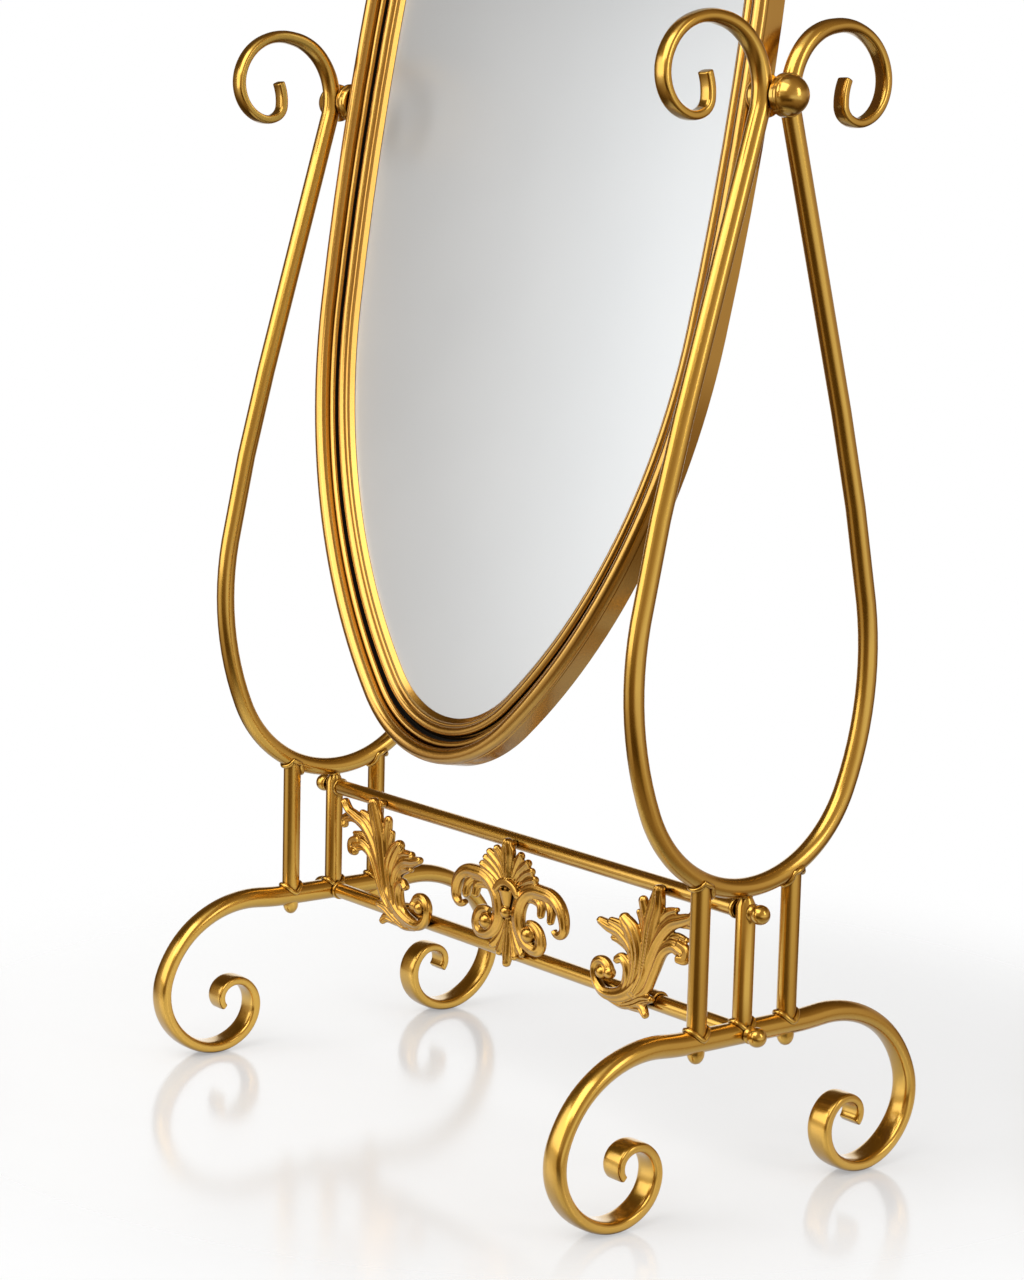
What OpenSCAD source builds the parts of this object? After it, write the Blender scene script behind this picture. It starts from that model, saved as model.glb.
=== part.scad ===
// Floor mirror: an oval mirror that swings between two scrolled tube frames.
// X runs to the right seen from the front, the mirror faces -Y, Z is up and the floor is Z = 0.

/* [Overall] */
// Distance between the centre planes of the two side frames
frame_span = 640; // [600:5:720]
// Height of the tilt axis above the floor
pivot_h = 970; // [930:5:1060]
// Lean of the mirror at rest, bottom edge forwards
lean = 9.8; // [0:0.1:20]

/* [Side frames] */
// Outside diameter of the loop and post tubes
tube_d = 18; // [16:0.5:20]
// Wall of the loop and post tubes
tube_wall = 1.5; // [1:0.1:2.5]
// Height of the loop's lowest centre line
loop_h = 285; // [275:1:300]
// Radius of the bend at the widest part of the loop
loop_side_r = 295; // [285:1:305]
// Radius of the long bend above it
loop_top_r = 1867; // [1800:1:1950]
// Distance from the tilt axis down to the weld between leg and scroll
seam_drop = 15; // [12:1:18]
// Distance of the front and rear posts from the middle post
post_gap = 53.5; // [48:0.5:56]
// Outside diameter of the collars round the post ends
collar_d = 22; // [21.5:0.5:24]

/* [Foot rails] */
// Diameter of the forged foot rail
rail_d = 21; // [19:0.5:23]
// Width of the flattened end scroll
foot_wide = 27; // [24:0.5:30]
// Thickness of the flattened scroll where it meets the floor
foot_thick = 12.5; // [11:0.5:14]
// Depth of the flat worn under each foot
foot_flat = 0.4; // [0.2:0.1:0.8]

/* [Crossbars] */
// Diameter of both crossbars
bar_d = 16; // [14:0.5:16.5]
// Distance from the loop's lowest centre line down to the upper crossbar
bar_drop = 21; // [20:0.5:24]
// Diameter of the studs and foot bolts
stud_d = 6; // [5:0.5:7]
// Diameter of the ball nuts
ball_nut_d = 18; // [16:0.5:20]
// Distance of the leaf castings' clasps from the side frames' centre planes
leaf_inset = 120; // [115:1:130]

/* [Mirror] */
// Half height of the oval rim
oval_half_h = 610; // [580:1:625]
// Gap between the rim and the side frame tubes
swing_gap = 12; // [10:0.5:16]
// Width of the rim from its outer face to the black channel
rim_w = 22; // [21:0.5:24]
// Depth of the rim's side band
rim_depth = 21; // [21:0.5:24]
// Wall of the hollow rim
rim_wall = 2; // [1.5:0.1:2.5]
// Width of the inner bead from the rim to the glass
bead_w = 22; // [21:0.5:24]
// Distance of the glass face behind the rim's front seam
glass_back = 13.9; // [13.9:0.1:14.5]
// Thickness of the mirror glass
glass_t = 4; // [3:0.5:4]
// Thickness of the back board
board_t = 3; // [2:0.5:3]
// Height of the tilt axis above the oval's centre
pivot_up = 16; // [8:1:24]
// Distance of the tilt axis behind the rim's front seam
pivot_back = 6.4; // [6:0.1:8]

/* [Pivots] */
// Diameter of the pivot studs
pivot_d = 8; // [6:0.5:9]
// Radial running clearance of the pivot studs
run_gap = 0.05; // [0.02:0.01:0.1]
// Diameter of the turned collars beside the frame
disc_d = 37.5; // [34:0.5:40]
// Diameter of the domed knobs
knob_d = 35.5; // [32:0.5:37]
// Thickness of the friction washers
washer_t = 1; // [0.8:0.1:1.2]
// Outside diameter of the bushes between the legs
bush_d = 14.2; // [13:0.1:16]

/* [Hidden] */
// The bends below are [radius, degrees]: left turns count positive, a radius of 0 is a straight run.
foot_bends = [[250, 5], [0, 10], [114, -38], [98, -39], [58, -46], [66, -47], [52, -50],
    [38, -50], [29, -60], [20, -70], [15, -60], [14, -40]];
scroll_bends = [[62, -56], [54, -40], [0, 4], [54, -40], [48, -45], [38, -45], [34, -45],
    [23, -45], [14, -55], [45, -30]];

fit_gap = 0.1;
seat_gap = 0.05;
weld_gap = 0.1;
// Brazed seams between the lengths that a rim or a loop is bent from
seam = 0.02;
smooth = 64;
fine = 720;
far = 3000;

frame_x = frame_span / 2;
tube_r = tube_d / 2;
rail_r = rail_d / 2;
bar_r = bar_d / 2;

function bend_length(b) = b[0] == 0 ? b[1] : b[0] * abs(b[1]) * PI / 180;
function bend_turn(b) = b[0] == 0 ? 0 : b[1];
function bend_centre(p, h, b) = p + sign(b[1]) * b[0] * [-sin(h), cos(h)];
function bend_point(p, h, b, t) = b[0] == 0
    ? p + t * b[1] * [cos(h), sin(h)]
    : bend_centre(p, h, b) + sign(b[1]) * b[0] * [sin(h + t * b[1]), -cos(h + t * b[1])];

// Stations along a run of bends, each as [point, heading, distance]
function run(p, h, bends, step, s = 0, i = 0) = i == len(bends)
    ? [[p, h, s]]
    : let(b = bends[i], n = max(1, ceil(abs(bend_turn(b)) / step)), l = bend_length(b))
      concat([for (k = [0:n - 1]) [bend_point(p, h, b, k / n), h + bend_turn(b) * k / n, s + l * k / n]],
             run(bend_point(p, h, b, 1), h + bend_turn(b), bends, step, s + l, i + 1));

// Angle that a seam takes up on a bend of radius r
function seam_angle(r) = seam / r * 180 / PI;
function lowest(st) = min([for (q = st) q[0][1]]);
function flatter(v, e) = sign(v) * pow(abs(v), e);

// A bar of changing section along its stations, lying in XY with its width along Z
module sweep(st, wide, thick, sides, square = 1) {
    n = len(st);
    total = st[n - 1][2];
    points = [for (q = st, k = [0:sides - 1])
        let(a = 360 * k / sides, f = q[2] / total,
            u = lookup(f, wide) / 2 * flatter(cos(a), square),
            v = lookup(f, thick) / 2 * flatter(sin(a), square))
        [q[0][0] - v * sin(q[1]), q[0][1] + v * cos(q[1]), u]];
    walls = [for (i = [0:n - 2], k = [0:sides - 1])
        let(a = i * sides + k, b = i * sides + (k + 1) % sides)
        each [[a, b, b + sides], [a, b + sides, a + sides]]];
    start = [for (k = [sides - 1:-1:0]) k];
    end = [for (k = [0:sides - 1]) (n - 1) * sides + k];
    polyhedron(points, concat([start], walls, [end]));
}

// Turns XY work into the plane of a side frame: X becomes Y and Y becomes Z
module side_plane() rotate([90, 0, 90]) children();
// Turns XY work to face the front: Y becomes Z and Z becomes -Y
module front_plane() rotate([90, 0, 0]) children();
module on_sides(side) translate([side * frame_x, 0, 0]) children();

// Loop of each side frame: a flat-bottomed teardrop of tube, symmetric front to rear
loop_turns = [67.4, 33.2, 5.4];
loop_lean = loop_turns[0] + loop_turns[1] + loop_turns[2];
loop_bottom = [0, loop_h];

// The legs close on the bush where the scrolls' first bend stands upright
bush_r = bush_d / 2;
leg_half_gap = bush_r + weld_gap;
seam_z = pivot_h - seam_drop;
seam_y = leg_half_gap + tube_r + scroll_bends[0][0] * (1 - sin(loop_lean));

// The bottom bend gets the radius that brings the straight legs there
upper_bends = [[loop_side_r, loop_turns[1]], [loop_top_r, loop_turns[2]]];
upper_curve = run([0, 0], loop_turns[0], upper_bends, 90);
upper_end = upper_curve[len(upper_curve) - 1][0];
leg_slope = cos(loop_lean) / sin(loop_lean);
upper_y = upper_end[0] + (seam_z - loop_h - upper_end[1]) * leg_slope;
loop_low_r = (seam_y - upper_y) / (sin(loop_turns[0]) - (1 - cos(loop_turns[0])) * leg_slope);

loop_parts = concat([[loop_low_r, loop_turns[0]]], upper_bends);
loop_curve = run(loop_bottom, 0, loop_parts, 90);
loop_curve_end = loop_curve[len(loop_curve) - 1][0];
leg_length = (seam_z - loop_curve_end[1]) / sin(loop_lean);

// One bend of the loop, which starts a brazed seam after the one before it
module arc_of_tube(i) {
    q = loop_curve[i];
    b = loop_parts[i];
    c = bend_centre(q[0], q[1], b);
    gap = i == 0 ? 0 : seam_angle(b[0]);
    translate([c[0], c[1], 0])
        rotate_extrude(angle = b[1] - gap, start = q[1] - 90 + gap, $fn = fine)
            translate([b[0], 0]) tube_ring();
}

module tube_ring() difference() {
    circle(d = tube_d, $fn = smooth);
    circle(d = tube_d - 2 * tube_wall, $fn = smooth);
}

// Short sleeve inside the tube that splices two lengths
sleeve_l = 8;
module splice(q) translate([q[0][0], q[0][1], 0]) rotate([0, 0, q[1]]) rotate([0, 90, 0])
    difference() {
        cylinder(r = tube_r - 0.5 * tube_wall, h = sleeve_l, center = true, $fn = smooth);
        cylinder(r = tube_r - 1.5 * tube_wall, h = 2 * sleeve_l, center = true, $fn = smooth);
    }

module half_loop() {
    for (i = [0:len(loop_parts) - 1]) arc_of_tube(i);
    for (i = [1:len(loop_parts)]) splice(loop_curve[i]);
    translate([loop_curve_end[0], loop_curve_end[1], 0])
        rotate([0, 0, loop_lean]) rotate([90, 0, 90]) translate([0, 0, seam])
            linear_extrude(leg_length - seam) tube_ring();
}

module loop(side) color("goldenrod") on_sides(side) side_plane() {
    half_loop();
    mirror([1, 0, 0]) half_loop();
}

// Solid torus of the loop's bottom bend, with a weld gap round it, for coping the posts
module loop_cutter() translate([0, loop_h + loop_low_r, 0])
    rotate_extrude(angle = 120, start = 210, $fn = fine)
        translate([loop_low_r, 0]) circle(r = tube_r + weld_gap, $fn = smooth);

// Forged scrolls above the pivots, welded to the legs and thinned to a flat cut end
scroll_st = run([seam_y, seam_z + weld_gap], loop_lean, scroll_bends, 15);
scroll_wide = [[0, tube_d], [0.25, tube_d], [0.45, tube_d - 1], [0.75, tube_d - 2], [1, tube_d - 4]];
scroll_thick = [[0, tube_d], [0.25, tube_d - 2.5], [0.45, tube_d - 7], [0.75, tube_d - 9], [1, tube_d - 10]];
scroll_sides = 10;
scroll_square = 0.9;

module scroll(side, face) color("goldenrod") on_sides(side) side_plane()
    mirror([face < 0 ? 1 : 0, 0, 0]) sweep(scroll_st, scroll_wide, scroll_thick, scroll_sides, scroll_square);

// Foot rail: a round bar whose ends are drawn out flat and rolled into floor scrolls
rail_straight = post_gap + tube_r;
foot_step = 13;
foot_path = run([rail_straight, 0], 0, foot_bends, foot_step);
rail_z = foot_thick / 2 - foot_flat - lowest(foot_path);
foot_st = run([rail_straight, rail_z], 0, foot_bends, foot_step);
// Widths and thicknesses along the forged end, by the share of its length
foot_width = [[0, rail_d - fit_gap], [0.1, rail_d - fit_gap], [0.4, foot_wide - 3], [0.62, foot_wide],
    [0.82, foot_wide - 1], [1, foot_wide - 3]];
foot_depth = [[0, rail_d - fit_gap], [0.1, rail_d - fit_gap], [0.4, foot_thick + 2], [0.62, foot_thick],
    [0.82, foot_thick - 1.5], [1, foot_thick - 5]];
foot_sides = 12;
upper_bar_z = loop_h - bar_drop;
lower_bar_z = rail_z;

flat_side = 0.9;
module foot_end() sweep(foot_st, foot_width, foot_depth, foot_sides, flat_side);

module stud_hole(length) rotate([0, 90, 0])
    cylinder(d = stud_d + 2 * run_gap, h = length, center = true, $fn = smooth);

module foot_rail(side) color("goldenrod") on_sides(side) difference() {
    union() {
        translate([0, 0, rail_z]) rotate([90, 0, 0])
            cylinder(d = rail_d, h = 2 * rail_straight + fit_gap, center = true, $fn = smooth);
        side_plane() foot_end();
        side_plane() mirror([1, 0, 0]) foot_end();
    }
    translate([0, 0, -far / 2]) cube(far, center = true);
    translate([0, 0, rail_z]) stud_hole(2 * rail_d);
    for (y = [-post_gap, post_gap]) translate([0, y, rail_z])
        cylinder(d = stud_d + 2 * run_gap, h = 2 * rail_d, center = true, $fn = smooth);
}

// Posts between foot rail and loop, coped at both ends
post_foot_z = rail_z + rail_r / 2;
plug_top = rail_z + rail_r + 16;
post_top_z = loop_h + loop_low_r - sqrt(pow(loop_low_r, 2) - pow(post_gap, 2)) - tube_r / 3;
neck_z = upper_bar_z + bar_r - tube_r / 3;
neck_top_z = loop_h - tube_r;
neck_r = tube_r * 0.6;

module rail_cutter() translate([0, 0, rail_z]) rotate([90, 0, 0])
    cylinder(r = rail_r + weld_gap, h = 4 * post_gap, center = true, $fn = smooth);

module post_tube(top) difference() {
    translate([0, 0, post_foot_z]) cylinder(r = tube_r, h = top - post_foot_z, $fn = smooth);
    translate([0, 0, plug_top]) cylinder(r = tube_r - tube_wall, h = far, $fn = smooth);
}

module outer_post(side, face) color("goldenrod") on_sides(side) difference() {
    translate([0, face * post_gap, 0]) post_tube(post_top_z);
    rail_cutter();
    side_plane() loop_cutter();
    translate([0, face * post_gap, post_foot_z - 1])
        cylinder(d = stud_d + 2 * run_gap, h = plug_top - post_foot_z - 2, $fn = smooth);
}

module middle_post(side) color("goldenrod") on_sides(side) difference() {
    union() {
        post_tube(neck_z);
        translate([0, 0, neck_z]) difference() {
            cylinder(r1 = tube_r, r2 = neck_r, h = neck_top_z - neck_z, $fn = smooth);
            translate([0, 0, -1]) cylinder(r = neck_r - tube_wall, h = far, $fn = smooth);
        }
    }
    rail_cutter();
    side_plane() loop_cutter();
    translate([0, 0, upper_bar_z]) stud_hole(2 * tube_d);
}

// Saddle collars where the posts meet the loop and the foot rail
collar_h = 7.5;
collar_low_z = rail_z + bar_r + 0.5;
module collar_ring(z, h) translate([0, 0, z]) difference() {
    cylinder(d = collar_d, h = h, $fn = smooth);
    translate([0, 0, -1]) cylinder(r = tube_r + weld_gap, h = h + 2, $fn = smooth);
}

module post_collars() color("darkgoldenrod") for (side = [-1, 1]) on_sides(side) {
    difference() {
        for (y = [-post_gap, 0, post_gap]) translate([0, y, 0]) collar_ring(collar_low_z, collar_h);
        rail_cutter();
    }
    difference() {
        for (y = [-post_gap, post_gap]) translate([0, y, 0])
            collar_ring(post_top_z - 1.4 * collar_h, collar_h);
        side_plane() loop_cutter();
    }
}

// Crossbars: tubes with welded end plugs that take the studs
plug_l = 20;
upper_end_x = frame_x - tube_r - fit_gap;
lower_end_x = frame_x - rail_r - fit_gap;

module crossbar(z, end_x) color("goldenrod") translate([0, 0, z]) difference() {
    rotate([0, 90, 0]) cylinder(r = bar_r, h = 2 * end_x, center = true, $fn = smooth);
    rotate([0, 90, 0])
        cylinder(r = bar_r - tube_wall, h = 2 * (end_x - plug_l), center = true, $fn = smooth);
    stud_hole(2 * end_x + 2);
}

module crossbar_collars() color("darkgoldenrod")
    for (side = [-1, 1], b = [[upper_bar_z, upper_end_x], [lower_bar_z, lower_end_x]])
        translate([side * (b[1] - 2.3), 0, b[0]]) rotate([0, 90, 0]) difference() {
            cylinder(r = bar_r + 1.5, h = 3.4, center = true, $fn = smooth);
            cylinder(r = bar_r + weld_gap, h = 5, center = true, $fn = smooth);
        }

// Studs join the end plugs to ball nuts outside the middle posts
nut_r = ball_nut_d / 2;
// The ball sinks a little into the flange that it is turned with
nut_sink = 1.5;
flange_t = 2;
// The lower nuts' flanges pass below the collars round the middle posts
flange_clear = 0.4;
flange_r = collar_low_z - rail_z - flange_clear;
function nut_face(z) = (z == upper_bar_z ? frame_x + tube_r : frame_x + rail_r) + fit_gap;

module crossbar_studs() color("silver") for (side = [-1, 1], z = [upper_bar_z, lower_bar_z]) {
    inner = upper_end_x - plug_l;
    length = nut_face(z) + nut_r - inner;
    translate([side * (inner + length / 2), 0, z]) rotate([0, 90, 0])
        cylinder(d = stud_d, h = length, center = true, $fn = smooth);
}

module crossbar_ball_nuts() color("goldenrod") for (side = [-1, 1], z = [upper_bar_z, lower_bar_z])
    translate([side * nut_face(z), 0, z]) rotate([0, side * 90, 0])
        rotate_extrude($fn = smooth) difference() {
            union() {
                square([flange_r, flange_t]);
                translate([0, flange_t]) intersection() {
                    translate([0, nut_r - nut_sink]) circle(r = nut_r, $fn = smooth);
                    square([nut_r, 2 * nut_r]);
                }
            }
            square([stud_d / 2 + run_gap, nut_r + flange_t]);
        }

// Domed bolts that hold the outer posts to the foot rail from below
bolt_head_r = 8;
bolt_rim = 2;
bolt_head_z = rail_z - rail_r - bolt_rim;
bolt_end_z = plug_top - 5;
module foot_bolt() difference() {
    rotate_extrude($fn = smooth) {
        intersection() {
            translate([0, bolt_head_z]) circle(r = bolt_head_r, $fn = smooth);
            translate([0, bolt_head_z - bolt_head_r]) square(bolt_head_r);
        }
        translate([0, bolt_head_z]) square([bolt_head_r, rail_r / 2]);
        translate([0, bolt_head_z]) square([stud_d / 2, bolt_end_z - bolt_head_z]);
    }
    difference() {
        rail_cutter();
        cylinder(r = stud_d / 2, h = far, $fn = smooth);
    }
}

module post_foot_bolts() color("goldenrod")
    for (side = [-1, 1], y = [-post_gap, post_gap]) on_sides(side) translate([0, y, 0]) foot_bolt();

// Bushes between the legs that carry the pivot studs
bush_l = tube_d + 1;
stud_hole_r = pivot_d / 2 + run_gap;

module along_x(from, to, r) translate([from, 0, 0]) rotate([0, 90, 0])
    cylinder(r = r, h = to - from, $fn = smooth);

module at_pivot(side) translate([0, 0, pivot_h]) mirror([side < 0 ? 1 : 0, 0, 0]) children();

module pivot_bush(side) color("goldenrod") at_pivot(side) difference() {
    along_x(frame_x - bush_l / 2, frame_x + bush_l / 2, bush_r);
    along_x(frame_x - bush_l, frame_x + bush_l, stud_hole_r);
}

washer_r = 12;
inner_washer_x = frame_x - bush_l / 2 - seat_gap - washer_t;
outer_washer_x = frame_x + bush_l / 2 + seat_gap;

module pivot_washers() color("dimgray") for (side = [-1, 1]) at_pivot(side)
    for (x = [inner_washer_x, outer_washer_x]) difference() {
        along_x(x, x + washer_t, washer_r);
        along_x(x - 1, x + washer_t + 1, stud_hole_r);
    }

// Oval outline of three tangent arcs a quarter, found from the half width and half height
oval_half_w = frame_x - tube_r - swing_gap;
side_turn = 4.6;
end_turn = 46.6;
mid_r = 578;
flat_a = oval_half_w - mid_r * (cos(side_turn) - cos(end_turn));
flat_b = oval_half_h - mid_r * (sin(end_turn) - sin(side_turn));
oval_det = (1 - cos(side_turn)) * (1 - sin(end_turn)) - cos(end_turn) * sin(side_turn);
side_r = (flat_a * (1 - sin(end_turn)) - flat_b * cos(end_turn)) / oval_det;
end_r = ((1 - cos(side_turn)) * flat_b - sin(side_turn) * flat_a) / oval_det;
side_c = [oval_half_w - side_r, 0];
mid_c = side_c + (side_r - mid_r) * [cos(side_turn), sin(side_turn)];
end_c = [0, oval_half_h - end_r];

// The four arcs of half the oval, each as [centre, radius, first angle, last angle]
oval_arcs = [[side_c, side_r, -side_turn, side_turn],
    [mid_c, mid_r, side_turn, end_turn],
    [end_c, end_r, end_turn, 180 - end_turn],
    [[-mid_c[0], mid_c[1]], mid_r, 180 - end_turn, 180 - side_turn]];

// Runs a profile round the oval; the profile's X is 0 at the outer face and negative inwards
module round_oval() for (q = [0, 180], arc = oval_arcs) rotate(q)
    translate([arc[0][0], arc[0][1], 0]) {
        gap = seam_angle(arc[1]);
        rotate_extrude(angle = arc[3] - arc[2] - gap, start = arc[2] + gap, $fn = fine)
            translate([arc[1], 0]) children();
    }

// Brazed bars within a moulding's walls, across each seam: [x, z, width, height]
splice_l = 6;
module splice_bars(bars) for (q = [0, 180], arc = oval_arcs, b = bars) rotate(q)
    translate([arc[0][0], arc[0][1], 0]) rotate(arc[2])
        translate([arc[1] + b[0], -splice_l / 2, b[1]]) cube([b[2], splice_l, b[3]]);

// Puts children at the middle of each of the oval's eight arcs, with X pointing outwards
module at_oval_arcs() for (q = [0, 180], arc = oval_arcs) rotate(q)
    translate([arc[0][0], arc[0][1], 0]) rotate((arc[2] + arc[3]) / 2)
        translate([arc[1], 0, 0]) children();

function oval_points(inset, n) = [for (q = [0, 180], arc = oval_arcs, k = [0:n - 1])
    let(a = arc[2] + (arc[3] - arc[2]) * k / n,
        p = arc[0] + (arc[1] - inset) * [cos(a), sin(a)])
    q == 0 ? p : -p];

plate_steps = 20;
module oval_plate(inset, z, t) translate([0, 0, z])
    linear_extrude(t) polygon(oval_points(inset, plate_steps));

module mirror_frame() translate([0, 0, pivot_h]) rotate([-lean, 0, 0]) front_plane()
    translate([0, -pivot_up, pivot_back]) children();

// Rim: hollow band with a half-round bead in front and a smaller step bead inside it
front_r = 7.5;
step_r = (rim_w - 2 * front_r) / 2;
step_z = -5.5;
module rim_profile() difference() {
    union() {
        translate([-rim_w, -rim_depth]) square([rim_w, rim_depth + step_z]);
        translate([-2 * front_r, step_z - 1]) square([2 * front_r, 1 - step_z]);
        translate([-front_r, 0]) circle(r = front_r, $fn = smooth);
        translate([step_r - rim_w, step_z]) circle(r = step_r, $fn = smooth);
    }
    translate([rim_wall - rim_w, rim_wall - rim_depth])
        square([rim_w - 2 * rim_wall, rim_depth - 2 * rim_wall + step_z]);
    translate([rim_wall - 2 * front_r, -rim_depth / 2])
        square([2 * front_r - 2 * rim_wall, rim_depth / 2]);
    translate([-front_r, 0]) circle(r = front_r - rim_wall, $fn = smooth);
}

screw_d = 3.5;
screw_in = rim_w / 2;
splice_t = 0.6 * rim_wall;
splice_h = 10;
splice_z = rim_wall / 2 - rim_depth + 2;
rim_splices = [[-rim_w + (rim_wall - splice_t) / 2, splice_z, splice_t, splice_h],
    [-rim_wall + (rim_wall - splice_t) / 2, splice_z, splice_t, splice_h]];
module oval_rim() color("goldenrod") mirror_frame() difference() {
    union() {
        round_oval() rim_profile();
        splice_bars(rim_splices);
    }
    for (side = [-1, 1]) translate([side * oval_half_w, pivot_up, -pivot_back]) rotate([0, 90, 0])
        cylinder(r = stud_hole_r, h = 4 * rim_wall, center = true, $fn = smooth);
    at_oval_arcs() translate([-screw_in, 0, -rim_depth - 1])
        cylinder(d = screw_d + fit_gap, h = rim_wall + 2, $fn = smooth);
}

// Inner bead: the moulding that holds the glass from the front, with a thin lip beside the glass
bead_out = -rim_w - fit_gap;
bead_in = -rim_w - bead_w;
bead_r = 5;
bead_mid = -rim_w - 9;
bead_back = -glass_back + seat_gap;
bead_z = bead_back + 4.85;
bead_foot = 3.5;
lip_w = 6.5;
lip_t = 0.6;
module bead_profile() difference() {
    union() {
        translate([bead_in + bead_r, bead_back]) square([bead_w - bead_r - fit_gap, bead_foot]);
        translate([bead_mid, bead_z]) circle(r = bead_r, $fn = smooth);
        translate([bead_mid - bead_r - 1, bead_z - 0.4]) circle(r = 2, $fn = smooth);
        polygon([[bead_in, bead_back], [bead_in, bead_back + lip_t],
            [bead_in + lip_w, bead_back + bead_foot + 0.5], [bead_in + lip_w, bead_back]]);
    }
    translate([-far, -far]) square([2 * far, far + bead_back]);
}
bead_splice = 0.8 * bead_r;
module inner_bead() color("gold") mirror_frame() {
    round_oval() bead_profile();
    splice_bars([[bead_mid - bead_splice / 2, bead_z - bead_splice / 2, bead_splice, bead_splice]]);
}

// Glass and board lie in the rim's rebate
plate_inset = rim_w + 1.5;
module mirror_glass() color("lightgray") mirror_frame()
    oval_plate(plate_inset, -glass_back - glass_t, glass_t);
module back_board() color("saddlebrown") mirror_frame()
    oval_plate(plate_inset, -glass_back - glass_t - seat_gap - board_t, board_t);

// Turn clips on the rim's back hold the board
clip_t = 1.5;
clip_w = 12;
clip_z = -max(rim_depth, glass_back + glass_t + seat_gap + board_t) - seat_gap - clip_t;
module back_clips() color("silver") mirror_frame() at_oval_arcs() difference() {
    translate([0, 0, clip_z]) linear_extrude(clip_t) {
        for (x = [-screw_in, -rim_w - clip_w]) translate([x, 0]) circle(d = clip_w, $fn = smooth);
        translate([-rim_w - clip_w, -clip_w / 2]) square([rim_w + clip_w - screw_in, clip_w]);
    }
    translate([-screw_in, 0, clip_z - 1]) cylinder(d = screw_d + fit_gap, h = clip_t + 2, $fn = smooth);
}
module back_screws() color("silver") mirror_frame() at_oval_arcs() translate([-screw_in, 0, 0]) {
    translate([0, 0, clip_z - seat_gap - 2]) cylinder(d1 = 5, d2 = 7, h = 2, $fn = smooth);
    translate([0, 0, clip_z - seat_gap - 1]) cylinder(d = screw_d, h = 8, $fn = smooth);
}

// Pivot studs screwed into bosses inside the rim
boss_l = 10;
boss_from = oval_half_w - rim_wall - fit_gap - boss_l;
boss_r = 5.9;
knob_x = outer_washer_x + washer_t + seat_gap;
disc_t = 8;
dome_c = knob_x + disc_t - 3;
stud_end = dome_c + knob_d / 2 - 6;

module pivot_boss(side) color("goldenrod") mirror_at_pivot(side) difference() {
    along_x(boss_from, boss_from + boss_l, boss_r);
    along_x(boss_from - 1, boss_from + boss_l + 1, stud_hole_r);
}

module mirror_at_pivot(side) translate([0, 0, pivot_h]) rotate([-lean, 0, 0])
    mirror([side < 0 ? 1 : 0, 0, 0]) children();

module pivot_stud(side) color("silver") mirror_at_pivot(side) along_x(boss_from, stud_end, pivot_d / 2);

// Turned spacer between rim and frame: a low dome and a disc
spacer_from = oval_half_w + fit_gap;
spacer_to = inner_washer_x - seat_gap;
spacer_disc_t = 5;
module turned() rotate([0, 90, 0]) rotate_extrude($fn = smooth) rotate(90) children();

module inner_spacer(side) color("goldenrod") mirror_at_pivot(side) difference() {
    turned() {
        translate([spacer_to - spacer_disc_t, 0]) square([spacer_disc_t, disc_d / 2]);
        intersection() {
            translate([spacer_to - spacer_disc_t + 3, 0]) circle(d = knob_d, $fn = smooth);
            translate([spacer_from, 0]) square([spacer_to - spacer_from, knob_d]);
        }
    }
    along_x(spacer_from - 1, spacer_to + 1, stud_hole_r);
}

module knob_collar(side) color("goldenrod") mirror_at_pivot(side) difference() {
    along_x(knob_x, knob_x + disc_t, disc_d / 2);
    along_x(knob_x - 1, knob_x + disc_t + 1, stud_hole_r);
}

module ball_knob(side) color("goldenrod") mirror_at_pivot(side) difference() {
    turned() intersection() {
        translate([dome_c, 0]) circle(d = knob_d, $fn = smooth);
        translate([knob_x + disc_t + seat_gap, 0]) square(knob_d);
    }
    along_x(knob_x, stud_end + 1, stud_hole_r);
}

// Castings between the crossbars, drawn from the lower bar's centre with Z as relief
leaf_x = frame_x - leaf_inset;
design_gap = 110;
cast_k = (upper_bar_z - lower_bar_z) / design_gap;
relief = bar_r + fit_gap;

module on_bars(x) translate([x, 0, lower_bar_z]) front_plane() children();

// A frond: a curved rib that swells and narrows to a rounded tip
rib_sides = 6;
// A rib's six sides fall short of its stated width by this share
rib_fill = 1 / cos(180 / rib_sides);
// Point at share t of stretch i of a curve that passes through all its points
function through(p, i, t) =
    let(a = p[max(0, i - 1)], b = p[i], c = p[i + 1], d = p[min(len(p) - 1, i + 2)])
    b + t / 2 * (c - a) + t * t / 2 * (2 * a - 5 * b + 4 * c - d) + t * t * t / 2 * (3 * b - a - 3 * c + d);

// A frond runs through its points, each [u, v, width], and ends in a rounded tip
module frond(p, z, deep = 8) translate([0, 0, z]) {
    n = len(p) - 1;
    body = [for (i = [0:n - 1], t = [0, 0.5]) through(p, i, t)];
    last = p[n];
    before = body[len(body) - 1];
    ahead = [last[0] - before[0], last[1] - before[1]] / norm([last[0] - before[0], last[1] - before[1]]);
    spots = concat(body, [last], [[each ([last[0], last[1]] + 0.4 * last[2] * ahead), 0.5 * last[2]]]);
    m = len(spots) - 1;
    way = [for (k = [0:m]) let(a = spots[max(0, k - 1)], b = spots[min(m, k + 1)])
        atan2(b[1] - a[1], b[0] - a[0])];
    sweep([for (k = [0:m]) [spots[k], way[k], k / m]],
        [[0, 0.8 * deep], [0.6, deep], [0.85, 0.85 * deep], [1, 0.45 * deep]],
        [for (k = [0:m]) [k / m, rib_fill * spots[k][2]]], rib_sides);
}

module drop(p, d, z) translate([p[0], p[1], z]) sphere(d = d, $fn = 10);

module bar_pad(y) translate([0, y, relief]) cylinder(d = 8, h = 6, $fn = 12);

// Half ring that clasps the lower bar from the front
module clasp(from, to) rotate([0, 90, 0]) translate([0, 0, from])
    rotate_extrude(angle = 200, start = 80, $fn = 24)
        translate([relief + 0.1, 0]) square([3, to - from]);

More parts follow.
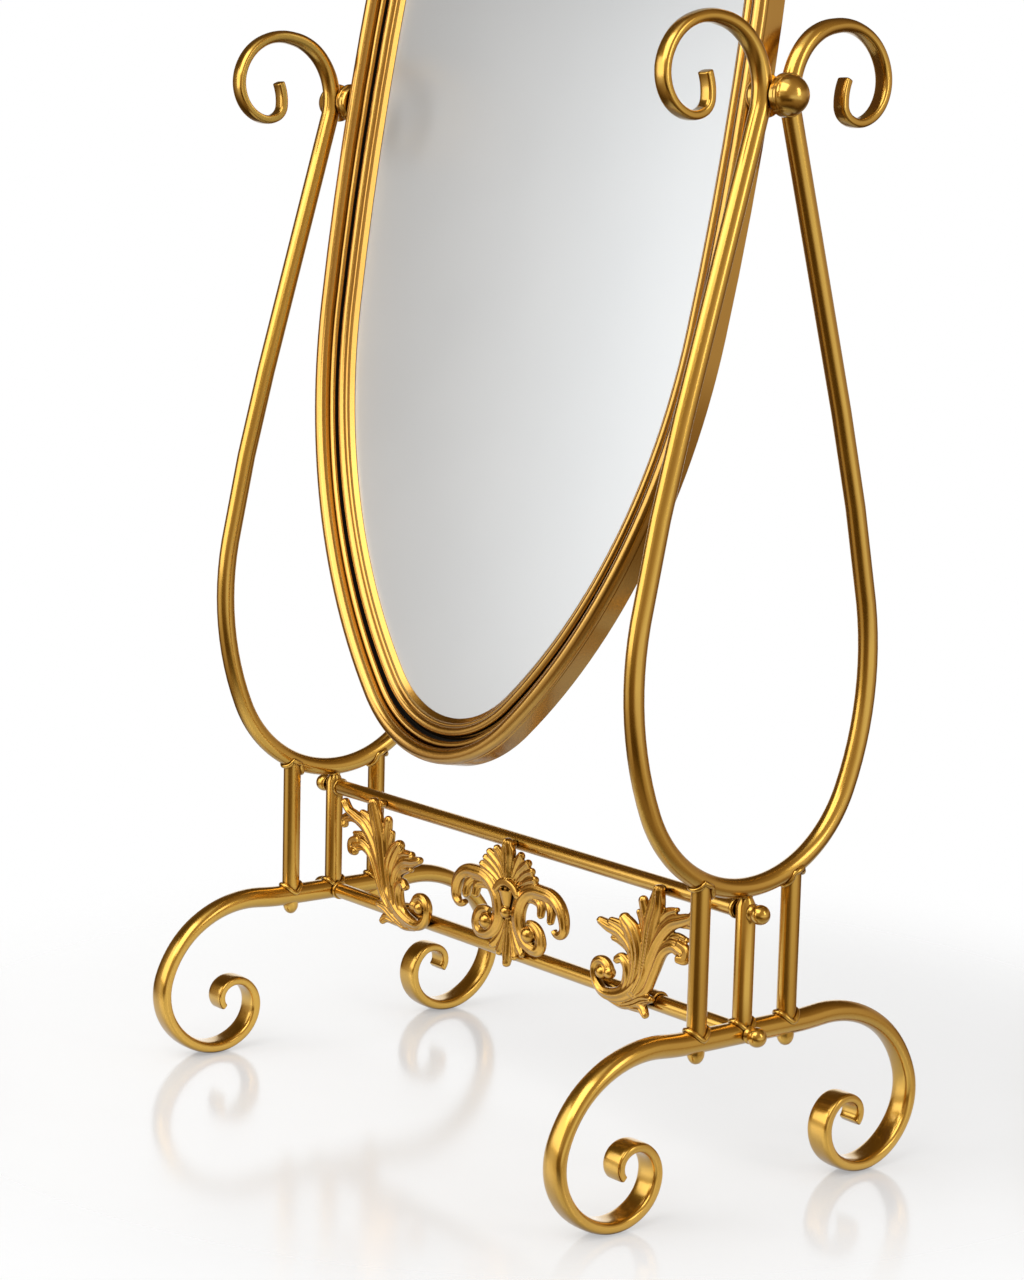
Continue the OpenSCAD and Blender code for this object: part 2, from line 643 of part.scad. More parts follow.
module leaf() {
    translate([0, 0, relief]) scale(cast_k) {
        // Volute, its eye and the hook inside it
        translate([0, 0, 6]) sweep(run([-46, 17], 90, [[11, 180], [19, 90], [55, 45], [90, 20]], 24),
            [[0, 9], [0.4, 11], [0.8, 12], [1, 9]],
            [[0, 11], [0.12, 9], [0.3, 8], [0.5, 12], [0.75, 17], [1, 10]], rib_sides);
        drop([-56, 17], 14, 6);
        drop([-46, 18], 12, 6);
        frond([[-36, 1, 9], [-24, 8, 13], [-19, 20, 14], [-20, 31, 12], [-27, 37, 10], [-33, 34, 8]], 6, 10);
        // Four lobes to the left
        frond([[-14, 12, 10], [-7, 32, 14], [-6, 50, 18], [-13, 65, 20], [-23, 75, 12]], 7, 12);
        frond([[-9, 34, 10], [-13, 52, 14], [-26, 64, 14], [-42, 68, 9]], 6, 10);
        frond([[-10, 30, 9], [-15, 48, 12], [-30, 60, 13], [-46, 63, 12], [-57, 66, 8]], 7, 10);
        frond([[-12, 32, 8], [-20, 46, 9], [-31, 52, 9], [-40, 53, 6]], 5);
        // Tall middle leaf and the three smaller ones beside it
        frond([[-9, 8, 8], [2, 26, 12], [8, 50, 15], [13, 76, 18], [20, 97, 19], [23, 111, 11]], 7, 13);
        frond([[3, 30, 9], [3, 55, 12], [4, 78, 14], [0, 96, 11]], 5, 9);
        frond([[0, 40, 7], [0, 60, 9], [-2, 74, 9], [-6, 84, 7]], 4, 7);
        frond([[13, 50, 9], [20, 74, 12], [31, 90, 11], [46, 97, 5]], 5, 8);
        // Forked arm and the two curls to the right
        frond([[-14, 5, 9], [4, 30, 14], [20, 62, 14], [38, 82, 14], [56, 90, 12], [68, 95, 9], [74, 102, 10]], 7, 11);
        frond([[50, 86, 10], [66, 88, 11], [77, 84, 10], [76, 78, 7]], 6, 10);
        frond([[16, 42, 8], [28, 63, 9], [44, 72, 8], [60, 72, 5]], 4, 7);
        frond([[-10, 3, 8], [6, 14, 10], [17, 34, 11], [28, 54, 11], [42, 63, 13], [55, 61, 15]], 6, 10);
        frond([[50, 67, 8], [62, 63, 10], [61, 55, 10], [54, 54, 8]], 8, 10);
        // Clasp leaf along the lower bar
        frond([[-46, -7, 5], [-28, -8, 8], [-12, -3, 11], [2, 4, 12], [14, 7, 7]], 5, 9);
        frond([[-30, -8, 6], [-12, -6, 9], [0, -4, 12], [7, -9, 8]], 5, 9);
    }
    clasp(-14, 10);
    translate([17 * cast_k, 0, 0]) bar_pad(upper_bar_z - lower_bar_z);
}

module palmette() color("goldenrod") on_bars(0) {
    translate([0, 0, relief]) scale(cast_k) {
        // Fan of nine petals
        frond([[0, 66, 7], [0, 86, 11], [0, 103, 18], [0, 111, 12]], 7, 12);
        for (m = [0, 1]) mirror([m, 0, 0]) {
            frond([[3, 72, 6], [9, 87, 9], [15, 97, 11], [19, 102, 9]], 5);
            frond([[6, 72, 6], [14, 85, 9], [24, 93, 10], [30, 97, 8]], 5, 9);
            frond([[9, 71, 6], [18, 80, 9], [28, 87, 10], [36, 90, 8]], 5);
            frond([[12, 69, 6], [22, 75, 9], [32, 80, 10], [41, 83, 8]], 5, 9);
            // C-scroll, its eye and the feathers inside its arch
            translate([0, 0, 6]) sweep(run([30, 38], 15, [[16, -105], [8, -90], [27, -90], [31, -90],
                [0, 12], [27, -90], [9, -140]], 26), [[0, 7], [0.2, 9], [0.5, 12], [0.8, 12], [1, 7]],
                [[0, 7], [0.08, 13], [0.14, 15], [0.2, 12], [0.41, 18], [0.55, 16], [0.7, 14],
                [0.85, 13], [0.93, 10], [1, 6]], rib_sides);
            drop([33, 28], 17, 6);
            frond([[22, 60, 8], [37, 64, 11], [49, 61, 11], [51, 51, 8]], 5, 9);
            frond([[44, 68, 8], [57, 66, 11], [65, 58, 11], [66, 48, 8]], 5, 9);
            // Lower fan, side petals
            frond([[3, 34, 6], [6, 20, 9], [10, 8, 11], [12, 2, 9]], 5);
            frond([[5, 34, 5], [10, 22, 9], [17, 12, 11], [23, 7, 8]], 5, 7);
        }
        // Collar, vase, bead and the middle petal of the lower fan
        frond([[-18, 62, 7], [-10, 70, 9], [0, 73, 9], [10, 70, 9], [17, 63, 7]], 9, 9);
        hull() {
            translate([0, 66, 4]) cylinder(d1 = 20, d2 = 14, h = 9, $fn = 8);
            translate([0, 50, 4]) cylinder(d1 = 9, d2 = 6, h = 8, $fn = 8);
        }
        drop([0, 44], 13, 9);
        frond([[0, 42, 9], [0, 22, 12], [0, 4, 14], [0, -7, 9]], 5, 10);
    }
    clasp(-9, 9);
    bar_pad(upper_bar_z - lower_bar_z);
}

module right_leaf() color("goldenrod") on_bars(leaf_x) leaf();
module left_leaf() color("goldenrod") on_bars(-leaf_x) mirror([1, 0, 0]) leaf();

loop(-1);  // left_loop
loop(1);  // right_loop
scroll(-1, -1);  // left_front_scroll
scroll(-1, 1);  // left_rear_scroll
scroll(1, -1);  // right_front_scroll
scroll(1, 1);  // right_rear_scroll
foot_rail(-1);  // left_foot_rail
foot_rail(1);  // right_foot_rail
outer_post(-1, -1);  // left_front_post
middle_post(-1);  // left_middle_post
outer_post(-1, 1);  // left_rear_post
outer_post(1, -1);  // right_front_post
middle_post(1);  // right_middle_post
outer_post(1, 1);  // right_rear_post
post_collars();
post_foot_bolts();
crossbar(upper_bar_z, upper_end_x);  // upper_crossbar
crossbar(lower_bar_z, lower_end_x);  // lower_crossbar
crossbar_collars();
crossbar_studs();
crossbar_ball_nuts();
left_leaf();
palmette();
right_leaf();
pivot_bush(-1);  // left_pivot_bush
pivot_bush(1);  // right_pivot_bush
pivot_washers();
oval_rim();
inner_bead();
mirror_glass();
back_board();
back_clips();
back_screws();
pivot_boss(-1);  // left_pivot_boss
pivot_boss(1);  // right_pivot_boss
pivot_stud(-1);  // left_pivot_stud
pivot_stud(1);  // right_pivot_stud
inner_spacer(-1);  // left_inner_spacer
inner_spacer(1);  // right_inner_spacer
knob_collar(-1);  // left_knob_collar
knob_collar(1);  // right_knob_collar
ball_knob(-1);  // left_ball_knob
ball_knob(1);  // right_ball_knob
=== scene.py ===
import math
import bpy
import bmesh
from mathutils import Matrix, Vector


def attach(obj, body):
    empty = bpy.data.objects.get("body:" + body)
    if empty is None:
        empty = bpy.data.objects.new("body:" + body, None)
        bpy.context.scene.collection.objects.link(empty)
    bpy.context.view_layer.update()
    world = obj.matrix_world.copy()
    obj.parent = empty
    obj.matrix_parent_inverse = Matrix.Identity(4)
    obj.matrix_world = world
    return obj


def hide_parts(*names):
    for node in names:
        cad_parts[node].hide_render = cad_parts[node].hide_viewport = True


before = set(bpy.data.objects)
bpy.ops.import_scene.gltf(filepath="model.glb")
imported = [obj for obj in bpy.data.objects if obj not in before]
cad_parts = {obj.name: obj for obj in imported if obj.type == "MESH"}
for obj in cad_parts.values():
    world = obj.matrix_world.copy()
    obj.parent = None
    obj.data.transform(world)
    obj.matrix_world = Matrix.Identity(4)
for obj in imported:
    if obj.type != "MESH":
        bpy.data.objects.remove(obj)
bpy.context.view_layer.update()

# Viewpoint
# A long lens stands to the right of the front and a little above the crossbars, rolled by a
# little over a degree, so that the top of the oval runs out of the picture.
view_turn, view_rise, view_roll = math.radians(51.966), math.radians(8.666), math.radians(1.391)
view_point = Vector((-0.01046, -0.01014, 0.4611))
view_distance = 2.7837
back = Vector((math.sin(view_turn) * math.cos(view_rise), -math.cos(view_turn) * math.cos(view_rise),
               math.sin(view_rise)))
level = Vector((math.cos(view_turn), math.sin(view_turn), 0))
upright = back.cross(level)
right = level * math.cos(view_roll) + upright * math.sin(view_roll)
up = upright * math.cos(view_roll) - level * math.sin(view_roll)
lens = bpy.data.cameras.new("viewpoint")
lens.sensor_fit = "VERTICAL"
lens.sensor_height = 36
lens.lens = 81.87
camera = bpy.data.objects.new("viewpoint", lens)
camera.matrix_world = Matrix.Translation(view_point + back * view_distance) @ Matrix(
    (right, up, back)).transposed().to_4x4()
bpy.context.scene.collection.objects.link(camera)
bpy.context.scene.camera = camera
bpy.context.scene.view_settings.view_transform = "Standard"

# Side-frame loops
# Two teardrops of 18 mm brass tube with a 1.5 mm wall, bent cold to three radii a half and
# satin polished along the tube; the open ends are brazed to the scrolls above the tilt axis.
MM = 0.001
frame_x = 320.0
tube_d = 18.0
seam_y, seam_z, leg_lean = 18.602, 955.0, 106.0
loop_r = 124.04
loop_height = 285.0
loop_bends = [(1867, 5.4), (295, 33.2), (loop_r, 67.4)]


def srgb(code):
    """An sRGB hex colour as the linear colour that a shader takes."""
    parts = [int(code[i:i + 2], 16) / 255 for i in (1, 3, 5)]
    return tuple(p / 12.92 if p < 0.04045 else ((p + 0.055) / 1.055) ** 2.4 for p in parts) + (1.0,)


def add(tree, kind, links=None, values=None, **settings):
    """Adds one node with its settings, its values and what feeds it."""
    node = tree.nodes.new("ShaderNode" + kind)
    for name, value in settings.items():
        setattr(node, name, value)
    for socket, value in (values or {}).items():
        node.inputs[socket].default_value = value
    for socket, source in (links or {}).items():
        tree.links.new(source, node.inputs[socket])
    return node


def blank(name):
    """A material with only its output, and its node tree."""
    material = bpy.data.materials.new(name)
    material.use_nodes = True
    material.node_tree.nodes.clear()
    return material, material.node_tree


def linked(name, mesh):
    """A finished bmesh as an object in the scene."""
    data = bpy.data.meshes.new(name)
    mesh.to_mesh(data)
    mesh.free()
    thing = bpy.data.objects.new(name, data)
    bpy.context.scene.collection.objects.link(thing)
    return thing


def dress(material, *nodes):
    """Gives CAD nodes that stay in view one material."""
    for node in nodes:
        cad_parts[node].data.materials.clear()
        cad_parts[node].data.materials.append(material)


def brass(name, bright, deep, patina_and_shade, rough_low, rough_high, crease_mm, crease, ripple_mm, ripple):
    """Brass: two golds in slow clouds; brown in creases, partly patina and partly painted shade;
    brown on undersides as painted shade; and a clear lacquer that thins out there."""
    material, tree = blank(name)
    place = add(tree, "TexCoord").outputs["Object"]
    cloud = add(tree, "TexNoise", {"Vector": place}, {"Scale": 1 / (70 * MM), "Detail": 3.0})
    tone = add(tree, "Mix", {"Factor": cloud.outputs["Fac"]},
               {6: srgb(deep), 7: srgb(bright)}, data_type="RGBA")
    # Painted shade with patina: ambient occlusion browns creases and joints, where real patina lies and
    # where shade falls
    hollow = add(tree, "AmbientOcclusion", values={"Distance": crease_mm * MM}, samples=16)
    crease_patina_and_shade = add(tree, "MapRange", {"Value": hollow.outputs["AO"]},
                    {"From Min": 0.25, "From Max": 0.85, "To Min": 1 - crease, "To Max": 1.0})
    # Painted shade: faces that look downwards are browned as if in shade
    normal = add(tree, "SeparateXYZ", {0: add(tree, "TexCoord").outputs["Normal"]})
    underside_shade = add(tree, "MapRange", {"Value": normal.outputs["Z"]},
                 {"From Min": -0.9, "From Max": -0.05, "To Min": 0.4, "To Max": 1.0})
    patina_and_shade_mask = add(tree, "Math", {0: crease_patina_and_shade.outputs["Result"], 1: underside_shade.outputs["Result"]},
               operation="MULTIPLY")
    colour = add(tree, "Mix", {"Factor": patina_and_shade_mask.outputs[0], 7: tone.outputs[2]},
                 {6: srgb(patina_and_shade)}, data_type="RGBA")
    polish = add(tree, "TexNoise", {"Vector": place}, {"Scale": 1 / (25 * MM), "Detail": 1.0})
    rough = add(tree, "MapRange", {"Value": polish.outputs["Fac"]},
                {"From Min": 0.3, "From Max": 0.7, "To Min": rough_low, "To Max": rough_high})
    waves = add(tree, "TexNoise", {"Vector": place}, {"Scale": 1 / (ripple_mm * MM), "Detail": 2.0})
    bump = add(tree, "Bump", {"Height": waves.outputs["Fac"]},
               {"Strength": ripple, "Distance": 0.1 * MM})
    # The lacquer coat follows the same mask, so it thins where shade is painted
    skin = add(tree, "BsdfPrincipled",
               {"Base Color": colour.outputs[2], "Roughness": rough.outputs["Result"],
                "Normal": bump.outputs["Normal"], "Coat Weight": patina_and_shade_mask.outputs[0]},
               {"Metallic": 1.0, "Coat Roughness": 0.16, "Coat IOR": 1.55})
    add(tree, "OutputMaterial", {"Surface": skin.outputs["BSDF"]})
    return material


# Satin-polished brass tube: a warm mid gold whose highlights stay soft-edged
# Its third colour is the brown of patina and painted shade in creases, and of painted shade on undersides
satin_brass = brass("satin_polished_brass", "#e8ba48", "#daa93b", "#452805", 0.2, 0.24, 6, 0.92,
                    40, 0.1)


def walk(start, heading, bends, stride=4.0):
    """Stations (y, z, heading, distance) along bends of (radius, degrees); radius 0 is straight."""
    y, z, gone = start[0], start[1], 0.0
    stations = []
    for radius, turn in bends:
        if radius == 0:
            steps, length, bend = max(1, round(turn / 40)), turn, 0.0
        else:
            steps = max(2, math.ceil(abs(turn) / stride))
            length, bend = radius * math.radians(abs(turn)), turn
        for k in range(steps):
            t, h = k / steps, math.radians(heading)
            if radius == 0:
                dy, dz = t * length * math.cos(h), t * length * math.sin(h)
            else:
                arm = math.copysign(radius, turn)
                h2 = math.radians(heading + bend * t)
                dy, dz = arm * (math.sin(h2) - math.sin(h)), arm * (math.cos(h) - math.cos(h2))
            stations.append((y + dy, z + dz, heading + bend * t, gone + length * t))
        h = math.radians(heading)
        if radius == 0:
            y, z = y + length * math.cos(h), z + length * math.sin(h)
        else:
            arm, h2 = math.copysign(radius, turn), math.radians(heading + bend)
            y, z = y + arm * (math.sin(h2) - math.sin(h)), z + arm * (math.cos(h) - math.cos(h2))
        heading, gone = heading + bend, gone + length
    return stations + [(y, z, heading, gone)]


def pick(table, share):
    """A value read off a table of (share, value), straight between its rows."""
    for (a, low), (b, high) in zip(table, table[1:]):
        if share <= b:
            return low + (high - low) * max(0.0, share - a) / (b - a)
    return table[-1][1]


def draw_bar(mesh, stations, x, wide, thick, square, sides=36, flip=1):
    """Bridges rings along the stations; flip -1 mirrors front and rear. Returns the end rings."""
    total = stations[-1][3]
    ends, last = [], None
    for y, z, heading, gone in stations:
        share = gone / total
        ring = bmesh.ops.create_circle(mesh, segments=sides, radius=1.0)["verts"]
        power = pick(square, share)
        half_w, half_t = pick(wide, share) / 2, pick(thick, share) / 2
        for v in ring:
            c, s = v.co.x, v.co.y
            v.co = (math.copysign(abs(c) ** power, c) * half_w,
                    math.copysign(abs(s) ** power, s) * half_t, 0)
        h = math.radians(heading)
        turn = Matrix(((1, 0, 0), (0, flip * math.sin(h), flip * math.cos(h)),
                       (0, -math.cos(h), math.sin(h))))
        spot = Matrix.Translation((x, flip * y, z)) @ turn.to_4x4()
        bmesh.ops.transform(mesh, matrix=Matrix.Scale(MM, 4) @ spot, verts=ring)
        edges = list({e for v in ring for e in v.link_edges})
        if last:
            bmesh.ops.bridge_loops(mesh, edges=last + edges)
        else:
            ends.append(edges)
        last = edges
    return ends + [last]


def cap(mesh, edges, round_mm):
    """Closes a ring of edges with a face and rounds its edge."""
    bmesh.ops.contextual_create(mesh, geom=edges)
    if round_mm:
        bmesh.ops.bevel(mesh, geom=edges, offset=round_mm * MM, segments=3, profile=0.5,
                        affect="EDGES", material=-1)


def piece(name, mesh, material, body, stands_for=(), sharp=40):
    """Turns a finished bmesh into a piece that rides on a body and stands for CAD nodes."""
    bmesh.ops.recalc_face_normals(mesh, faces=mesh.faces)
    thing = linked(name, mesh)
    for face in thing.data.polygons:
        face.use_smooth = True
    thing.data.set_sharp_from_angle(angle=math.radians(sharp))
    thing.data.materials.append(material)
    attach(thing, body)
    if stands_for:
        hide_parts(*stands_for)


reach = walk((0, loop_height), 0, loop_bends[::-1])[-1]
leg = (seam_z - reach[1]) / math.sin(math.radians(leg_lean))
round_loop = [(0, leg)] + loop_bends + loop_bends[::-1] + [(0, leg)]
evenly_round = [(0, tube_d), (1, tube_d)]
for side, hand in ((-1, "left"), (1, "right")):
    mesh = bmesh.new()
    line = walk((-seam_y, seam_z), 360 - leg_lean, round_loop, 3.0)
    for edges in draw_bar(mesh, line, side * frame_x, evenly_round, evenly_round, [(0, 1), (1, 1)]):
        cap(mesh, edges, 0)
    piece(hand + "_loop_tube", mesh, satin_brass, "stand", [hand + "_loop"])

# Upper scrolls
# Four scrolls forged from solid bar: round where they meet the legs, then drawn out thinner
# and flatter towards a square-cut end, and curled inwards by a little over a turn.
scroll_bends = [(62, -56), (54, -40), (0, 4), (54, -40), (48, -45), (38, -45), (34, -45), (23, -45),
                (14, -55), (45, -30)]
scroll_wide = [(0, tube_d), (0.25, tube_d), (0.45, 17), (0.75, 16), (1, 14)]
scroll_thick = [(0, tube_d), (0.25, 15.5), (0.45, 11), (0.75, 9), (1, 8)]
scroll_square = [(0, 1), (0.2, 1), (0.5, 0.78), (0.8, 0.62), (1, 0.5)]
for side, hand in ((-1, "left"), (1, "right")):
    for way, end in ((-1, "front"), (1, "rear")):
        mesh = bmesh.new()
        line = walk((seam_y, seam_z), leg_lean, scroll_bends, 3.0)
        first, last = draw_bar(mesh, line, side * frame_x, scroll_wide, scroll_thick, scroll_square,
                               flip=way)
        cap(mesh, first, 0)
        cap(mesh, last, 1.2)
        piece(f"{hand}_{end}_scroll_bar", mesh, satin_brass, "stand",
              [f"{hand}_{end}_scroll"])

# Foot rails
# Two forged bars, round between the posts and drawn out to a 27 mm band that rolls down to
# the floor and up inside itself; each roll stands on a small flat at its lowest point.
rail_z = 153.581
rail_d = 21.0
rail_straight = 62.5
foot_bends = [(250, 5), (0, 10), (114, -38), (98, -39), (58, -46), (66, -47), (52, -50), (38, -50),
              (29, -60), (20, -70), (15, -60), (14, -40)]
foot_wide = [(0, rail_d), (0.19, rail_d), (0.43, 24), (0.65, 27), (0.84, 26), (1, 24)]
foot_thick = [(0, rail_d), (0.19, rail_d), (0.43, 14.1), (0.65, 12.5), (0.84, 11), (1, 7.5)]
foot_square = [(0, 1), (0.19, 1), (0.45, 0.8), (0.65, 0.62), (1, 0.45)]
for side, hand in ((-1, "left"), (1, "right")):
    half = walk((0, rail_z), 0, [(0, rail_straight)] + foot_bends, 4.0)
    mesh = bmesh.new()
    for way in (-1, 1):
        first, last = draw_bar(mesh, half, side * frame_x, foot_wide, foot_thick, foot_square, flip=way)
        cap(mesh, last, 1.4)
    bmesh.ops.remove_doubles(mesh, verts=mesh.verts, dist=0.01 * MM)
    for v in mesh.verts:
        v.co.z = max(v.co.z, 0.0)
    piece(hand + "_foot_bar", mesh, satin_brass, "stand", [hand + "_foot_rail"])

# Posts
# Three short tubes a side, whose ends run into the foot rail and the loop, where real ones are
# coped and brazed; the middle one is necked down below the loop, above the upper crossbar.
post_gap = 53.5
post_r = 9
upper_bar_z = 264.0


def turned(mesh, profile, place, steps=48):
    """Spins a profile of (radius, height) in millimetres round its own axis, then places it."""
    verts = [mesh.verts.new((r * MM, 0, h * MM)) for r, h in profile]
    edges = [mesh.edges.new(pair) for pair in zip(verts, verts[1:])]
    out = bmesh.ops.spin(mesh, geom=verts + edges, cent=(0, 0, 0), axis=(0, 0, 1),
                         angle=math.tau, steps=steps, use_merge=True)
    body = {v for v in out["geom_last"] if isinstance(v, bmesh.types.BMVert)}
    body |= {v for e in out["geom_last"] if isinstance(e, bmesh.types.BMEdge) for v in e.verts}
    reached = list(body)
    while reached:
        v = reached.pop()
        for e in v.link_edges:
            w = e.other_vert(v)
            if w not in body:
                body.add(w)
                reached.append(w)
    bmesh.ops.remove_doubles(mesh, verts=list(body), dist=0.002 * MM)
    bmesh.ops.transform(mesh, matrix=place, verts=[v for v in body if v.is_valid])


def stood(x, y, z):
    return Matrix.Translation((x * MM, y * MM, z * MM))


def arc(centre, radius, first, last, steps):
    """Points of a profile on part of a circle, as (radius, height)."""
    return [(centre[0] + radius * math.cos(math.radians(first + (last - first) * k / steps)),
             centre[1] + radius * math.sin(math.radians(first + (last - first) * k / steps)))
            for k in range(steps + 1)]


outer_top = loop_height + loop_r - math.sqrt(loop_r ** 2 - post_gap ** 2)
for side, hand in ((-1, "left"), (1, "right")):
    for y, spot in ((-post_gap, "front"), (0, "middle"), (post_gap, "rear")):
        mesh = bmesh.new()
        profile = [(0, rail_z + 2), (post_r, rail_z + 2)]
        if y:
            profile += [(post_r, outer_top), (0, outer_top)]
        else:
            profile += [(post_r, upper_bar_z + 5), (5.6, loop_height - 9), (6.4, loop_height - 6),
                        (6.4, loop_height), (0, loop_height)]
        turned(mesh, profile, stood(side * frame_x, y, 0))
        piece(f"{hand}_{spot}_post_tube", mesh, satin_brass, "stand",
              [f"{hand}_{spot}_post"], 30)

# Post collars
# Ten cast saddle rings that hug the posts where they meet the round of the rail or the loop,
# slid on before brazing.
saddle_t = 2.4


def saddle(mesh, x, y, seat, lift, sides=12, steps=40):
    """A bead round a post that follows the height of what it sits on."""
    last = first = None
    ring_r = post_r + saddle_t * 0.55
    nudge = 0.01
    for k in range(steps):
        a = math.tau * k / steps
        px, py = ring_r * math.cos(a), ring_r * math.sin(a)
        rise = (seat(ring_r * math.cos(a + nudge), ring_r * math.sin(a + nudge))
                - seat(ring_r * math.cos(a - nudge), ring_r * math.sin(a - nudge))) / (2 * nudge)
        along = Vector((-ring_r * math.sin(a), ring_r * math.cos(a), rise)).normalized()
        out = Vector((math.cos(a), math.sin(a), 0))
        high = along.cross(out).normalized()
        ring = bmesh.ops.create_circle(mesh, segments=sides, radius=saddle_t)["verts"]
        turn = Matrix((out, -high, along)).transposed()
        spot = Matrix.Translation((x + px, y + py, seat(px, py) + lift)) @ turn.to_4x4()
        bmesh.ops.transform(mesh, matrix=Matrix.Scale(MM, 4) @ spot, verts=ring)
        edges = list({e for v in ring for e in v.link_edges})
        if last:
            bmesh.ops.bridge_loops(mesh, edges=last + edges)
        else:
            first = edges
        last = edges
    bmesh.ops.bridge_loops(mesh, edges=last + first)


def rail_seat(px, py):
    return rail_z + math.sqrt(max(0.0, (rail_d / 2) ** 2 - px * px))


mesh = bmesh.new()
for side in (-1, 1):
    for y in (-post_gap, 0, post_gap):
        saddle(mesh, side * frame_x, y, rail_seat, 1.2)
    for y in (-post_gap, post_gap):
        def loop_seat(px, py, y=y):
            away = loop_r + math.sqrt(max(0.0, (tube_d / 2) ** 2 - px * px))
            return loop_height + loop_r - math.sqrt(away ** 2 - (y + py) ** 2)
        saddle(mesh, side * frame_x, y, loop_seat, -1.4)
piece("saddle_rings", mesh, satin_brass, "stand", ["post_collars"])

# Foot bolts
# Four domed bolts that pass up through the foot rails into the outer posts; the head is
# drawn down to a blunt point.
mesh = bmesh.new()
for side in (-1, 1):
    for y in (-post_gap, post_gap):
        head = rail_z - rail_d / 2
        profile = [(0, head - 10), (1.6, head - 9.8), (4.2, head - 8.6), (6.4, head - 6),
                   (7.6, head - 3), (8, head), (8, head + 5), (0, head + 5)]
        turned(mesh, profile, stood(side * frame_x, y, 0))
piece("foot_bolt_heads", mesh, satin_brass, "stand", ["post_foot_bolts"], 50)

# Crossbars and their end collars
# Two 16 mm tubes between the side frames, satin polished, each with a plain ring at either
# end that covers the joint with the middle post or the foot rail.
joint_gap = 0.1
upper_end, lower_end = frame_x - tube_d / 2 - joint_gap, frame_x - rail_d / 2 - joint_gap
along_x = Matrix.Rotation(math.pi / 2, 4, "Y")
for name, z, end in (("upper", upper_bar_z, upper_end), ("lower", rail_z, lower_end)):
    mesh = bmesh.new()
    turned(mesh, [(0, -end), (7.6, -end), (8, -end + 0.4), (8, end - 0.4), (7.6, end), (0, end)],
           stood(0, 0, z) @ along_x, 64)
    piece(name + "_crossbar_tube", mesh, satin_brass, "stand", [name + "_crossbar"], 30)
mesh = bmesh.new()
for side in (-1, 1):
    for z, end in ((upper_bar_z, upper_end), (rail_z, lower_end)):
        turned(mesh, [(8, -1.7), (9.1, -1.7), (9.5, -1.2), (9.5, 1.2), (9.1, 1.7), (8, 1.7)],
               stood(side * (end - 2.3), 0, z) @ along_x)
piece("crossbar_rings", mesh, satin_brass, "stand", ["crossbar_collars"])

# Ball nuts
# Four ball nuts, 18 mm across, on the studs outside the middle posts; each ball is turned in
# one piece with a thin flange and polished.
mesh = bmesh.new()
for side in (-1, 1):
    for z, out in ((upper_bar_z, tube_d / 2), (rail_z, rail_d / 2)):
        profile = [(7.7, 0), (8.1, 0.4), (8.1, 1.6), (7.7, 2)] + arc((0, 9.5), 9, -40, 90, 22)
        outwards = Matrix.Rotation(side * math.pi / 2, 4, "Y")
        turned(mesh, profile, stood(side * (frame_x + out + joint_gap), 0, z) @ outwards)
piece("stud_ball_nuts", mesh, satin_brass, "stand", ["crossbar_ball_nuts"], 60)

# Cast ornaments
# Two acanthus leaves and a palmette, sand cast in brass with fluted fronds whose tips curl
# forwards, then brushed; the brown in the flutes is partly patina and partly painted shade, and
# the undersides are browned as painted shade.
cast_brass = brass("cast_brushed_brass", "#e1af3c", "#d19a2d", "#2c1701", 0.2, 0.25, 9, 1.0, 12, 0.2)
cast_k = (upper_bar_z - rail_z) / 110
relief = 8.1


def through(p, i, t):
    """Point at share t of stretch i of a curve that passes through all its points."""
    a, b, c, d = (Vector(p[k]) for k in (max(0, i - 1), i, i + 1, min(len(p) - 1, i + 2)))
    return (b + t / 2 * (c - a) + t * t / 2 * (2 * a - 5 * b + 4 * c - d)
            + t ** 3 / 2 * (3 * b - a - 3 * c + d))


def cast_rings(mesh, place, spots, flutes, groove, sides=32):
    """Bridges fluted sections along spots of (u, v, heading, relief, width, depth)."""
    rings = []
    for u, v, heading, z, wide, deep in spots:
        ring = bmesh.ops.create_circle(mesh, segments=sides, radius=1.0)["verts"]
        for vert in ring:
            c, s = vert.co.x, vert.co.y
            cut = 1 - groove * (0.5 - 0.5 * math.cos(math.tau * flutes * (c + 1) / 2)) if s > 0.05 else 1
            vert.co = (c * wide / 2, math.copysign(abs(s) ** 0.8, s) * cut * deep / 2, 0)
        h = math.radians(heading)
        turn = Matrix(((math.sin(h), 0, math.cos(h)), (-math.cos(h), 0, math.sin(h)), (0, 1, 0)))
        spot = Matrix.Translation((u, v, z)) @ turn.to_4x4()
        bmesh.ops.transform(mesh, matrix=place @ spot, verts=ring)
        edges = list({e for v in ring for e in v.link_edges})
        if rings:
            bmesh.ops.bridge_loops(mesh, edges=rings[-1] + edges)
        rings.append(edges)
    for edges in (rings[0], rings[-1]):
        bmesh.ops.contextual_create(mesh, geom=edges)


